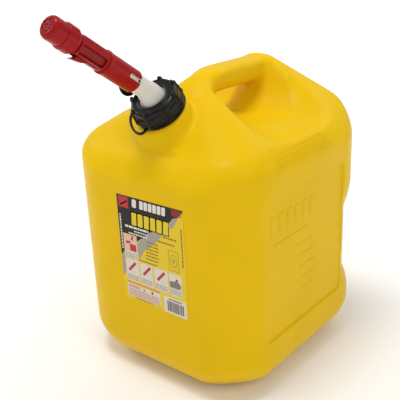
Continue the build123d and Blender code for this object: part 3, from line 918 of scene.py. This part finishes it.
def guard_field(x, y, t):
    """The stepped ring behind the tip: coned at its rear, with a broad tab above and below."""
    r = np.hypot(x, y)
    ring = round_max(r - GUARD_R, band(t, GUARD_START, GUARD_END), 0.5)
    cone = CONE_OUT * (r - GUARD_R) + CONE_BACK * (CONE_STATION - t)
    ring = round_max(ring, cone, 0.8)
    for degrees in TAB_ANGLES:
        along, out = around(x, y, degrees)
        tab = round_max(np.abs(along) - 8.6, -out, 0.5)
        tab = round_max(tab, round_max(r - TAB_R, band(t, TAB_START, TAB_END), 0.9), 0.6)
        ring = round_min(ring, tab, 0.5)
    return round_max(ring, GUARD_BORE_R - r, 0.3)


def tip_details(shell, x, y, t):
    """The ring of fins, the hub inside it, and the crossed bars over the outlet."""
    r = np.hypot(x, y)
    fin_angle = np.mod(np.arctan2(y, x), FIN_SLICE) - FIN_SLICE / 2
    fin = round_max(np.abs(r * np.sin(fin_angle)) - 0.55, band(r, 3.6, 7.6), 0.3)
    fin = round_max(fin, band(t, TIP_FLOOR, FIN_TOP), 0.4)
    shell = round_min(shell, fin, 0.2)
    hub = round_max(round_max(r - 4.0, 2.9 - r, 0.3), band(t, TIP_FLOOR, FIN_TOP), 0.4)
    shell = round_min(shell, hub, 0.2)
    bar = round_max(np.minimum(np.abs(x), np.abs(y)) - 0.9, band(t, TIP_FLOOR, BAR_TOP), 0.3)
    bar = np.maximum(bar, r - 3.2)
    shell = cut(shell, np.maximum(r - OUTLET_R, TIP_SOCKET_END - t), 0.2)
    return round_min(shell, bar, 0.2)


def tip_field(x, y, t):
    """The rounded tip with a sunk face, a ring of fins and a barred outlet, hollow inside."""
    r = np.hypot(x, y)
    shell = round_max(r - TIP_R, t - TIP_END, 5.0)
    shell = round_max(shell, GUARD_END - t, 0.3)
    sunk = round_max(r - TIP_FACE_R, TIP_FACE - t, 0.4)
    shell = tip_details(cut(shell, sunk, 0.6), x, y, t)
    hollow = np.maximum(r - TIP_HOLLOW_R, band(t, TIP_HOLLOW_START, TIP_FLOOR))
    socket = np.maximum(r - TIP_SOCKET_R, t - TIP_SOCKET_END)
    return np.maximum(np.maximum(shell, -hollow), -socket)


def tube_path(station):
    """Origin, across and upward directions of the spout path at a distance from the nut's base."""
    across = np.array([1.0, 0, 0])
    bend_length = BEND_RADIUS * SPOUT_BEND
    turned = min(max(station - BEND_START, 0), bend_length) / BEND_RADIUS
    straight = max(station - BEND_START - bend_length, 0)
    before = min(station, BEND_START)
    along = np.array([0, -math.sin(turned), math.cos(turned)])
    upward = np.array([0, math.cos(turned), math.sin(turned)])
    centre = np.array([0, BEND_RADIUS * (math.cos(turned) - 1), before + BEND_RADIUS * math.sin(turned)])
    return centre + straight * along, across, upward


def tube_crease(angles, station, radius):
    """The mould line that runs along the white tube on each side."""
    if not CREASE_START < station < CREASE_END or radius < CREASE_LEAST_R:
        return 0
    off = np.abs(np.mod(angles - CREASE_ANGLE + math.pi / 2, math.pi) - math.pi / 2)
    return CREASE_HEIGHT * np.exp(-(off / CREASE_WIDTH) ** 2)


def taper(foot_r, end_r, end_station, share):
    """A point of the tube's outline, part of the way up its tapered stretch."""
    return (foot_r + (end_r - foot_r) * share, TAPER_START + (end_station - TAPER_START) * share)


def add_spout_tube():
    """The flanged white tube: its outline goes up the outside, round the end and back down the bore."""
    bend_stop = BEND_START + BEND_RADIUS * SPOUT_BEND
    tube_stop = bend_stop + TUBE_STRAIGHT
    shares = [step / TAPER_STEPS for step in range(TAPER_STEPS + 1)]
    outline = [(18.2, FLANGE_FOOT), (18.2, 5.4), (18.6, 5.0), (19.8, 5.0), (20.2, 5.4), (20.2, FLANGE_FOOT)]
    outline += [(23.3, FLANGE_FOOT), (FLANGE_R, 13.3), (FLANGE_R, 15.5), (23.3, FLANGE_TOP)]
    outline += [(15.0, FLANGE_TOP), (14.3, 16.4)]
    outline += [taper(TUBE_FOOT_R, TUBE_R, bend_stop, share) for share in shares]
    outline += [(TUBE_R, bend_stop + 12.0), (TUBE_R, bend_stop + 24.0), (TUBE_R, tube_stop - 1.0)]
    outline += [(9.4, tube_stop), (8.1, tube_stop), (TUBE_BORE_R, tube_stop - 0.4)]
    outline += [(TUBE_BORE_R, bend_stop + 12.0)]
    outline += [taper(TUBE_FOOT_BORE_R, TUBE_BORE_R, bend_stop, share) for share in reversed(shares)]
    outline += [(12.6, 13.4), (13.0, FLANGE_FOOT)]
    points, faces = swept_ring(outline, tube_path, 120, tube_crease)
    tube = add_mesh("spout_tube_skin", points, faces, neck_place)
    tube.data.set_sharp_from_angle(angle=math.radians(40))
    dress(tube, tube_white, "tube_white", "spout", "spout_tube")


def add_spout():
    """Everything past the nut: the sleeve with its hook, the guard ring, the tip and the tube."""
    pieces = [
        ("sleeve_skin", sleeve_field, (-13, -13, 15), (13, 13, 104.5), PART_STEP, "sleeve", "outer_sleeve"),
        ("hook_skin", hook_field, (-4, -17, 67), (4, -8.5, 106), 0.4, "sleeve", "catch_hook"),
        ("guard_skin", guard_field, (-15, -15, 103), (15, 15, 123), PART_STEP, "spout", "guard_ring"),
        ("tip_skin", tip_field, (-13, -13, 120), (13, 13, 139.5), 0.45, "spout", "nozzle_tip"),
    ]
    for name, field, low, high, step, body, node in pieces:
        dress(moulded(name, field, low, high, step, spout_place), spout_red, "spout_red", body, node)
    add_spout_tube()


add_neck()
add_nut()
add_tether()
add_spout()


# ---- label and raised marks

# The label's shapes are in mm from its top left corner: u to the right and v down
LABEL_LEFT_X = -37.0
LABEL_TOP_Z = 234.6
LABEL_WIDTH = 99.0
LABEL_HEIGHT = 132.6
LABEL_FACE_Y = -144.3
SHEET_THICKNESS = 0.3
SHEET_LAYER = -10
INK = 0.03
BLOCK_COUNT = 6
BLOCK_PITCH = 9.6
BLOCK_LEAN = -0.06
LETTER_PITCH = 6.6
LETTER_LEAN = -0.08
PANEL_COLUMNS = [(6.0, 27.0), (29.0, 48.5), (51.0, 71.5), (73.5, 92.0)]
PANEL_TOP_V = 79.0
PANEL_FOOT_V = 107.0
CAUTION_LEFT = 5.8
CAUTION_RIGHT = 58.0
BADGE_U = 82
BADGE_V = 63
BADGE_STROKES = 9
BADGE_STEP = 0.698
BADGE_SWEEP = 0.7

# Raised marks: their rows go down the side and up the shoulder
FACE_MARKS_Z = 208
FACE_ROW_PITCH = 15
SHOULDER_MARKS_Z = 271.0
SHOULDER_ROW_PITCH = 4.6
SHOULDER_Y = -10.0

label_random = np.random.default_rng(7)


def prism(outline, depth, chamfer=0.0):
    """A closed prism from an anticlockwise outline in (u, v): its foot at 0, its face at the depth."""
    outline = np.array(outline, float)
    count = len(outline)
    centre = outline.mean(0)
    reach = np.linalg.norm(outline - centre, axis=1, keepdims=True)
    face = outline - (outline - centre) / np.maximum(reach, 1e-6) * chamfer
    points = np.concatenate([
        np.column_stack([outline, np.zeros(count)]),
        np.column_stack([face, np.full(count, depth)]),
    ])
    faces = [tuple(range(count, 2 * count)), tuple(reversed(range(count)))]
    for i in range(count):
        j = (i + 1) % count
        faces.append((i, j, count + j, count + i))
    return points, faces


def box_outline(u0, v0, u1, v1, corner=0.0, lean=0.0):
    """A rectangle with rounded corners and a sideways lean."""
    if corner <= 0:
        shape = [(u0, v0), (u1, v0), (u1, v1), (u0, v1)]
    else:
        shape = []
        centres = [(u1 - corner, v0 + corner, -90), (u1 - corner, v1 - corner, 0),
                   (u0 + corner, v1 - corner, 90), (u0 + corner, v0 + corner, 180)]
        for cu, cv, start in centres:
            for step in range(5):
                angle = math.radians(start + 22.5 * step)
                shape.append((cu + corner * math.cos(angle), cv + corner * math.sin(angle)))
    return [(u + lean * (v - v0), v) for u, v in shape]


def strip(u0, v0, u1, v1, width):
    """A straight bar between two points."""
    along = Vector((u1 - u0, v1 - v0)).normalized() * width / 2
    return [(u0 + along.y, v0 - along.x), (u1 + along.y, v1 - along.x),
            (u1 - along.y, v1 + along.x), (u0 - along.y, v0 + along.x)]


def dashes(u0, u1, v, height, shortest=1.2, longest=5.0, gap=0.7):
    """A row of plain bars of uneven length, where the real label has a line of print."""
    row = []
    at = u0
    while at < u1 - shortest:
        end = min(u1, at + label_random.uniform(shortest, longest))
        row.append(box_outline(at, v, end, v + height))
        at = end + gap
    return row


def upright_dashes(u, width, v0, v1):
    """A column of plain bars."""
    column = []
    at = v0
    while at < v1:
        end = min(v1, at + label_random.uniform(1.5, 5.0))
        column.append(box_outline(u, at, u + width, end))
        at = end + 0.8
    return column


def ring_outline(u, v, radius_u, radius_v, count):
    """An oval, as points evenly spaced in angle."""
    angles = [2 * math.pi * i / count for i in range(count)]
    return [(u + radius_u * math.cos(a), v + radius_v * math.sin(a)) for a in angles]


def joined(name, outlines, depth, place, chamfer=0.0):
    """One mesh object from many prisms."""
    points, faces, start = [], [], 0
    for outline in outlines:
        area = sum(a[0] * b[1] - b[0] * a[1] for a, b in zip(outline, outline[1:] + outline[:1]))
        piece, piece_faces = prism(outline if area > 0 else outline[::-1], depth, chamfer)
        points.append(piece)
        faces += [tuple(start + i for i in face) for face in piece_faces]
        start += len(piece)
    obj = add_mesh(name, np.concatenate(points), faces, place)
    obj.data.shade_flat()
    return obj


def print_material(name, colour):
    """Printed film: dot grain in the colour, soft creases, and a gloss that varies."""
    roughness = 0.36
    material, principled = shader(
        name, roughness, Specular_IOR_Level=0.2, Coat_Weight=0.04, Coat_Roughness=0.2,
    )
    vary_colour(material, principled, noise(material, 2600, 2), colour, 0.86, 1.08)
    rubbed = noise(material, 90, 5, distortion=0.8)
    gloss = ramp(material, rubbed, [(0.35, roughness - 0.08), (0.75, roughness + 0.18)])
    material.node_tree.links.new(gloss, principled.inputs["Roughness"])
    creases, grain = noise(material, 45, 2), noise(material, 1800, 2)
    add_bumps(material, principled, [(creases, 0.3, 0.0005), (grain, 0.2, 0.00003)])
    return material


def label_place(layer):
    """Label coordinates: u to the right, v downwards, and out of the front face."""
    turn = Matrix(((1, 0, 0), (0, 0, -1), (0, -1, 0))).transposed().to_4x4()
    origin = Vector((LABEL_LEFT_X, LABEL_FACE_Y - INK * layer, LABEL_TOP_Z)) * MM
    return Matrix.Translation(origin) @ turn


def leaning_row(u0, u1, v0, v1, corner, pitch, lean):
    """Six leaning blocks in a row, from the place of the first."""
    starts = [pitch * i for i in range(BLOCK_COUNT)]
    return [box_outline(u0 + start, v0, u1 + start, v1, corner, lean) for start in starts]


def black_ink():
    """The dark ground at the top, and the edges of the large blocks."""
    ground = [(0, 0), (99, 0), (99, 2), (92, 9), (50, 37), (36, 47)]
    ground += [(27, 54), (27, 47), (5.5, 47), (5.5, 70), (0, 77)]
    return [ground] + leaning_row(20.8, 30.8, 17.4, 35.2, 1.2, BLOCK_PITCH, BLOCK_LEAN)


def silver_ink():
    """Slanting bands between the dark ground and the yellow film."""
    return [
        [(50, 36), (68, 35), (56, 48), (38, 62), (28, 77), (27.5, 56), (36, 47)],
        [(84, 12), (93, 9.5), (82, 25), (77, 22)],
        [(0, 78), (5.5, 71), (5.5, 97), (0, 104)],
    ]


def pale_ink():
    """Grounds of the four instruction panels, the caution, the upright bars and the small print."""
    shapes = [box_outline(u0, PANEL_TOP_V, u1, PANEL_FOOT_V, 1.0) for u0, u1 in PANEL_COLUMNS]
    shapes += [box_outline(CAUTION_LEFT, 111.5, CAUTION_RIGHT, 127.5, 1.0)]
    return shapes + [box_outline(63.0, 110.8, 97.0, 131.6, 1.0), box_outline(5.8, 69.0, 27.0, 78.0)]


def white_ink():
    """Bars in place of the top line, three short lines and a column, and a slash in the square."""
    shapes = [box_outline(24.5, 2.0, 31.0, 12.0, 1.5, LETTER_LEAN)]
    shapes += leaning_row(36.0, 41.4, 2.0, 12.0, 1.2, LETTER_PITCH, LETTER_LEAN)
    shapes += dashes(10, 47, 35.8, 2.6, 2, 7) + dashes(24, 46, 40.6, 1.6) + dashes(15, 44, 44.2, 1.6)
    return shapes + upright_dashes(2.2, 2.0, 24.0, 68.0) + [strip(4.5, 12.5, 16.5, 6.0, 1.6)]


def red_ink():
    """The corner square, small blocks, a slanting bar in each panel, and stripes at the top right."""
    shapes = [box_outline(2.5, 1.2, 18.0, 15.0, 0.6), box_outline(15.0, 59.0, 25.0, 67.5, 1.2)]
    shapes += [strip(9, 58, 16, 57, 3.0), strip(18.5, 54, 20.5, 48.5, 2.6)]
    shapes += [strip(u0 + 4.5, 94.0, u0 + 16.0, 82.0, 3.4) for u0, _ in PANEL_COLUMNS[:3]]
    shapes += [strip(79.5, 94, 86, 85, 2.8)]
    return shapes + [box_outline(83.0, 1.6 + 2.0 * i, 97.0, 2.7 + 2.0 * i) for i in range(4)]


def grey_ink():
    """A block in the last panel, and lines of small print."""
    shapes = [[(73.8, 89.5), (88, 88), (91.5, 93), (88, 97), (74.5, 97)]]
    for u0, u1 in PANEL_COLUMNS:
        for row in range(3):
            shapes += dashes(u0 + 1.2, u1 - 1.2, 99.2 + 2.4 * row, 0.9, 1.0, 4.0)
    for v in (71.0, 73.6, 76.0):
        shapes += dashes(7, 26, v, 0.9)
    return shapes


def olive_ink():
    """Lines of print on the yellow film, and a column near the right edge."""
    shapes = dashes(68, 88, 36.5, 1.8) + dashes(60, 84, 43.4, 1.8) + dashes(17, 45, 128.6, 1.2)
    for row in range(6):
        shapes += dashes(44.0 - 1.0 * row, 60.0, 49.5 + 4.2 * row, 1.5)
    return shapes + dashes(28, 60, 75.5, 1.4, 6, 12, 0.2) + upright_dashes(94.6, 1.8, 22.0, 68.0)


def badge_point(angle):
    """A place on the badge's oval."""
    return BADGE_U + 5 * math.cos(angle), BADGE_V + 7.5 * math.sin(angle)


def badge_ink():
    """A plain frame round an oval of strokes and a dot."""
    shapes = [strip(74.5, 51 + 24 * i, 89.5, 51 + 24 * i, 1.0) for i in range(2)]
    shapes += [strip(75 + 14 * i, 51, 75 + 14 * i, 75, 1.0) for i in range(2)]
    for angle in np.arange(BADGE_STROKES) * BADGE_STEP:
        shapes.append(strip(*badge_point(angle), *badge_point(angle + BADGE_SWEEP), 1.1))
    return shapes + [ring_outline(BADGE_U, BADGE_V, 2.0, 3.0, 16)]


def pink_ink():
    """The caution's five lines, its heading and a square."""
    shapes = []
    for row in range(5):
        shapes += dashes(7.2, 56.5, 117.6 + 2.0 * row, 1.0, 1.5, 6.0)
    return shapes + dashes(7.5, 27.0, 113.2, 2.6, 2.0, 5.0, 0.6) + [box_outline(31, 113, 34, 116.2, 0.8)]


def upright_bars():
    """Bars of random width that stand for nothing, and a line of marks above them."""
    shapes = []
    at = 68.5
    while at < 92.0:
        width = label_random.uniform(0.35, 1.3)
        shapes.append(box_outline(at, 116.0, at + width, 129.0))
        at += width + label_random.uniform(0.35, 1.0)
    return shapes + dashes(71, 90, 112.8, 1.4)


def label_layers():
    """Each ink's name, colour, layer and shapes. The random draws follow the order of this list."""
    yellow_blocks = leaning_row(22.0, 29.6, 18.5, 34.0, 1.0, BLOCK_PITCH, BLOCK_LEAN)
    return [
        ("black", (0.014, 0.011, 0.008), 1, black_ink()),
        ("silver", (0.40, 0.35, 0.30), 2, silver_ink()),
        ("pale", (0.76, 0.69, 0.58), 2, pale_ink()),
        ("peach", (0.80, 0.52, 0.36), 2, [box_outline(5.8, 47.6, 27.0, 69.0)]),
        ("white", (0.80, 0.74, 0.65), 3, white_ink()),
        ("yellow_block", (0.80, 0.60, 0.02), 3, yellow_blocks),
        ("red", (0.50, 0.035, 0.035), 3, red_ink()),
        ("grey", (0.22, 0.20, 0.18), 4, grey_ink()),
        ("olive", (0.24, 0.18, 0.03), 3, olive_ink()),
        ("badge", (0.50, 0.38, 0.03), 3, badge_ink()),
        ("orange", (0.72, 0.30, 0.02), 2, [box_outline(CAUTION_LEFT, 108.6, CAUTION_RIGHT, 110.4)]),
        ("pink", (0.62, 0.22, 0.20), 4, pink_ink()),
        ("bars", (0.05, 0.05, 0.05), 4, upright_bars()),
        ("blue", (0.08, 0.09, 0.25), 4, [box_outline(44, 113, 47, 116.2, 0.8)]),
    ]


def add_label():
    """The film, and a thin mesh for each ink on it."""
    film = [box_outline(0, 0, LABEL_WIDTH, LABEL_HEIGHT, 2.5)]
    sheet = joined("label_sheet", film, SHEET_THICKNESS, label_place(SHEET_LAYER))
    dress(sheet, print_material("label_film", (0.84, 0.58, 0.012)), "label_paper", "can", "front_label")
    for name, colour, layer, outlines in label_layers():
        ink = joined("label_" + name, outlines, INK, label_place(layer - 1))
        dress(ink, print_material("ink_" + name, colour), "label_paper", "can")


def surface_place(origin, across, outward):
    """A frame on a flat of the can: u across, v up the flat, and out of it."""
    across, outward = Vector(across).normalized(), Vector(outward).normalized()
    turn = Matrix((across, outward.cross(across), outward)).transposed().to_4x4()
    return Matrix.Translation(Vector(origin) * MM) @ turn


def shoulder_point(z):
    """How far out the side of the can is at a height, and how far it leans back there."""
    def level(x, height):
        """The can's field in the section where the marks are centred."""
        return can_field(np.array([x]), np.array([SHOULDER_Y]), np.array([height]))[0]

    near, far = 80.0, 140.0
    while far - near > 0.01:
        middle = (near + far) / 2
        near, far = (middle, far) if level(middle, z) < 0 else (near, middle)
    across = level(near + 0.5, z) - level(near - 0.5, z)
    upward = level(near, z + 0.5) - level(near, z - 0.5)
    return near, math.atan2(upward, across)


def add_marks(name, outlines, height, place, chamfer):
    """Raised marks that look moulded in one with the can."""
    dress(joined("marks_" + name, outlines, height, place, chamfer), can_yellow, "can_yellow", "can")


def add_face_marks(side, name):
    """Six tall blocks and six broken lines on a side panel."""
    origin = (side * (HALF_WIDTH - PANEL_DEPTH - 0.2), -22 * side - 10, FACE_MARKS_Z)
    marks = [box_outline(-49 + 16 * i, -12, -38 + 16 * i, 12, 2.4) for i in range(6)]
    marks += dashes(-44, 34, -25, 3.4, 4, 9, 2.4)
    for row in range(5):
        marks += dashes(4 + 3 * row, 42, -42 - FACE_ROW_PITCH * row, 3.2, 3, 8, 2.4)
    add_marks(name + "_face", marks, 0.75, surface_place(origin, (0, side, 0), (side, 0, 0)), 0.7)


def add_shoulder_marks(side, name):
    """Four broken lines along a shoulder, each at the lean that the can has there."""
    for row in range(4):
        z = SHOULDER_MARKS_Z + SHOULDER_ROW_PITCH * row
        x, lean = shoulder_point(z)
        outward = (side * math.cos(lean), 0, math.sin(lean))
        shelf = surface_place((side * (x - 0.15), SHOULDER_Y, z), (0, side, 0), outward)
        line = dashes(-60 + 3 * row, 58 - 4 * row, -1.5, 3.0, 3, 7, 1.8)
        add_marks(f"{name}_shoulder_{row}", line, 0.8, shelf, 0.5)


def add_raised_marks():
    """Low bars where the real can has raised print: on the side panels, the shoulders and the front."""
    for side, name in ((-1, "left"), (1, "right")):
        add_face_marks(side, name)
        add_shoulder_marks(side, name)
    front_slope = Vector((0, -math.sin(NECK_TILT), math.cos(NECK_TILT)))
    front = surface_place((26.0, -126.0, 284.0), (1, 0, 0), front_slope)
    lines = [strip(-12, 3.0 * i, 12, 3.0 * i, 0.8) for i in range(3)]
    add_marks("front_slope", lines, 0.5, front, 0.2)


add_label()
add_raised_marks()


# ---- stage, light and camera

# Lengths in this section are in metres, and the lights' powers in watts
FLOOR_SIZE = 12.0
FLOOR_Z = -0.0005
CAN_MIDDLE = (0, 0, 0.2)
HANDLE_BAY = (0, 0.03, 0.31)


def value_range(tree, value, value_limits, result_limits, target):
    """Carries a value from one range to another, and on to a shader's input."""
    node = tree.nodes.new("ShaderNodeMapRange")
    node.inputs["From Min"].default_value, node.inputs["From Max"].default_value = value_limits
    node.inputs["To Min"].default_value, node.inputs["To Max"].default_value = result_limits
    tree.links.new(value, node.inputs["Value"])
    tree.links.new(node.outputs["Result"], target)


def floor_material():
    """A matt floor that glows more with distance, so that it fades to white."""
    material, principled = shader("pale_floor", 0.8)
    tree = material.node_tree
    tint = ramp(material, noise(material, 3, 3), [(0.3, 0.95), (0.7, 0.98)])
    tree.links.new(tint, principled.inputs["Base Color"])
    add_bumps(material, principled, [(noise(material, 120, 3), 0.1, 0.0004)])
    distance = tree.nodes.new("ShaderNodeVectorMath")
    distance.operation = "LENGTH"
    tree.links.new(tree.nodes.new("ShaderNodeTexCoord").outputs["Object"], distance.inputs[0])
    glow = principled.inputs["Emission Strength"]
    value_range(tree, distance.outputs["Value"], (0.25, 1.6), (0.04, 0.55), glow)
    principled.inputs["Emission Color"].default_value = (1, 1, 1, 1)
    return material


def add_floor():
    """One large square under the can."""
    half = FLOOR_SIZE / 2
    corners = [(-half, -half, 0), (half, -half, 0), (half, half, 0), (-half, half, 0)]
    mesh = bpy.data.meshes.new("studio_floor")
    mesh.from_pydata(corners, [], [(0, 1, 2, 3)])
    mesh.materials.append(floor_material())
    floor = add_object("studio_floor", mesh)
    floor.location = (0, 0, FLOOR_Z)


def add_world():
    """White surroundings, seen by the camera at full strength and dimmer as light."""
    world = bpy.data.worlds.new("studio")
    world.use_nodes = True
    tree = world.node_tree
    background = tree.nodes["Background"]
    seen = tree.nodes.new("ShaderNodeLightPath").outputs["Is Camera Ray"]
    value_range(tree, seen, (0, 1), (0.49, 1.0), background.inputs["Strength"])
    background.inputs["Color"].default_value = (1, 1, 1, 1)
    bpy.context.scene.world = world


def add_area_light(name, location, target, size, power):
    """A round white light that faces its target."""
    data = bpy.data.lights.new(name, "AREA")
    data.shape = "DISK"
    data.size = size
    data.energy = power
    obj = add_object(name, data)
    obj.location = location
    obj.rotation_euler = (Vector(target) - Vector(location)).to_track_quat("-Z", "Y").to_euler()


def add_stage():
    """The floor, the surroundings and four soft lights."""
    add_floor()
    add_world()
    add_area_light("key", (-0.15, -0.35, 2.3), CAN_MIDDLE, 0.9, 20.5)
    add_area_light("side", (1.6, -0.5, 1.5), CAN_MIDDLE, 0.8, 4.2)
    add_area_light("back", (0.2, 1.3, 1.7), CAN_MIDDLE, 1.0, 4.5)
    add_area_light("left", (-1.5, -0.45, 1.25), HANDLE_BAY, 0.7, 4.5)


def add_camera():
    """The camera looks down at the front right corner, with a slight roll."""
    azimuth, elevation, roll = math.radians(40.0), math.radians(20.95), math.radians(-2.6)
    distance, sensor_width, focal_share = 0.855, 36.0, 1.674
    target_across, target_z = -0.0229, 0.191
    right = Vector((math.cos(azimuth), math.sin(azimuth), 0))
    back = Vector((
        math.sin(azimuth) * math.cos(elevation),
        -math.cos(azimuth) * math.cos(elevation),
        math.sin(elevation),
    ))
    upward = back.cross(right)
    turned_right = math.cos(roll) * right + math.sin(roll) * upward
    turned_up = math.cos(roll) * upward - math.sin(roll) * right
    camera = bpy.data.cameras.new("view")
    camera.sensor_width = sensor_width
    camera.lens = sensor_width * focal_share
    camera.shift_x = -0.0078
    camera.shift_y = -0.0058
    obj = add_object("view", camera)
    target = target_across * right + Vector((0, 0, target_z))
    turn = Matrix((turned_right, turned_up, back)).transposed().to_4x4()
    obj.matrix_world = Matrix.Translation(target + back * distance) @ turn
    bpy.context.scene.camera = obj


add_stage()
add_camera()
bpy.context.scene.view_settings.view_transform = "Standard"

# The CAD nodes that no piece here replaces, by the material that they get
CAD_FINISHES = [
    (seal_rubber, ["neck_gasket", "guide_peg", "barrel_o_ring", "valve_seal"]),
    (tube_white, ["vent_tube"]),
    (barrel_shaded_red, ["inner_barrel"]),
    (valve_plastic, ["valve_seat", "valve_carrier", "valve_head"]),
    (steel, ["cross_pin", "valve_rod", "return_spring", "spring_washer"]),
]
for finish, node_names in CAD_FINISHES:
    for node_name in node_names:
        paint(frame["nodes"][node_name], finish)
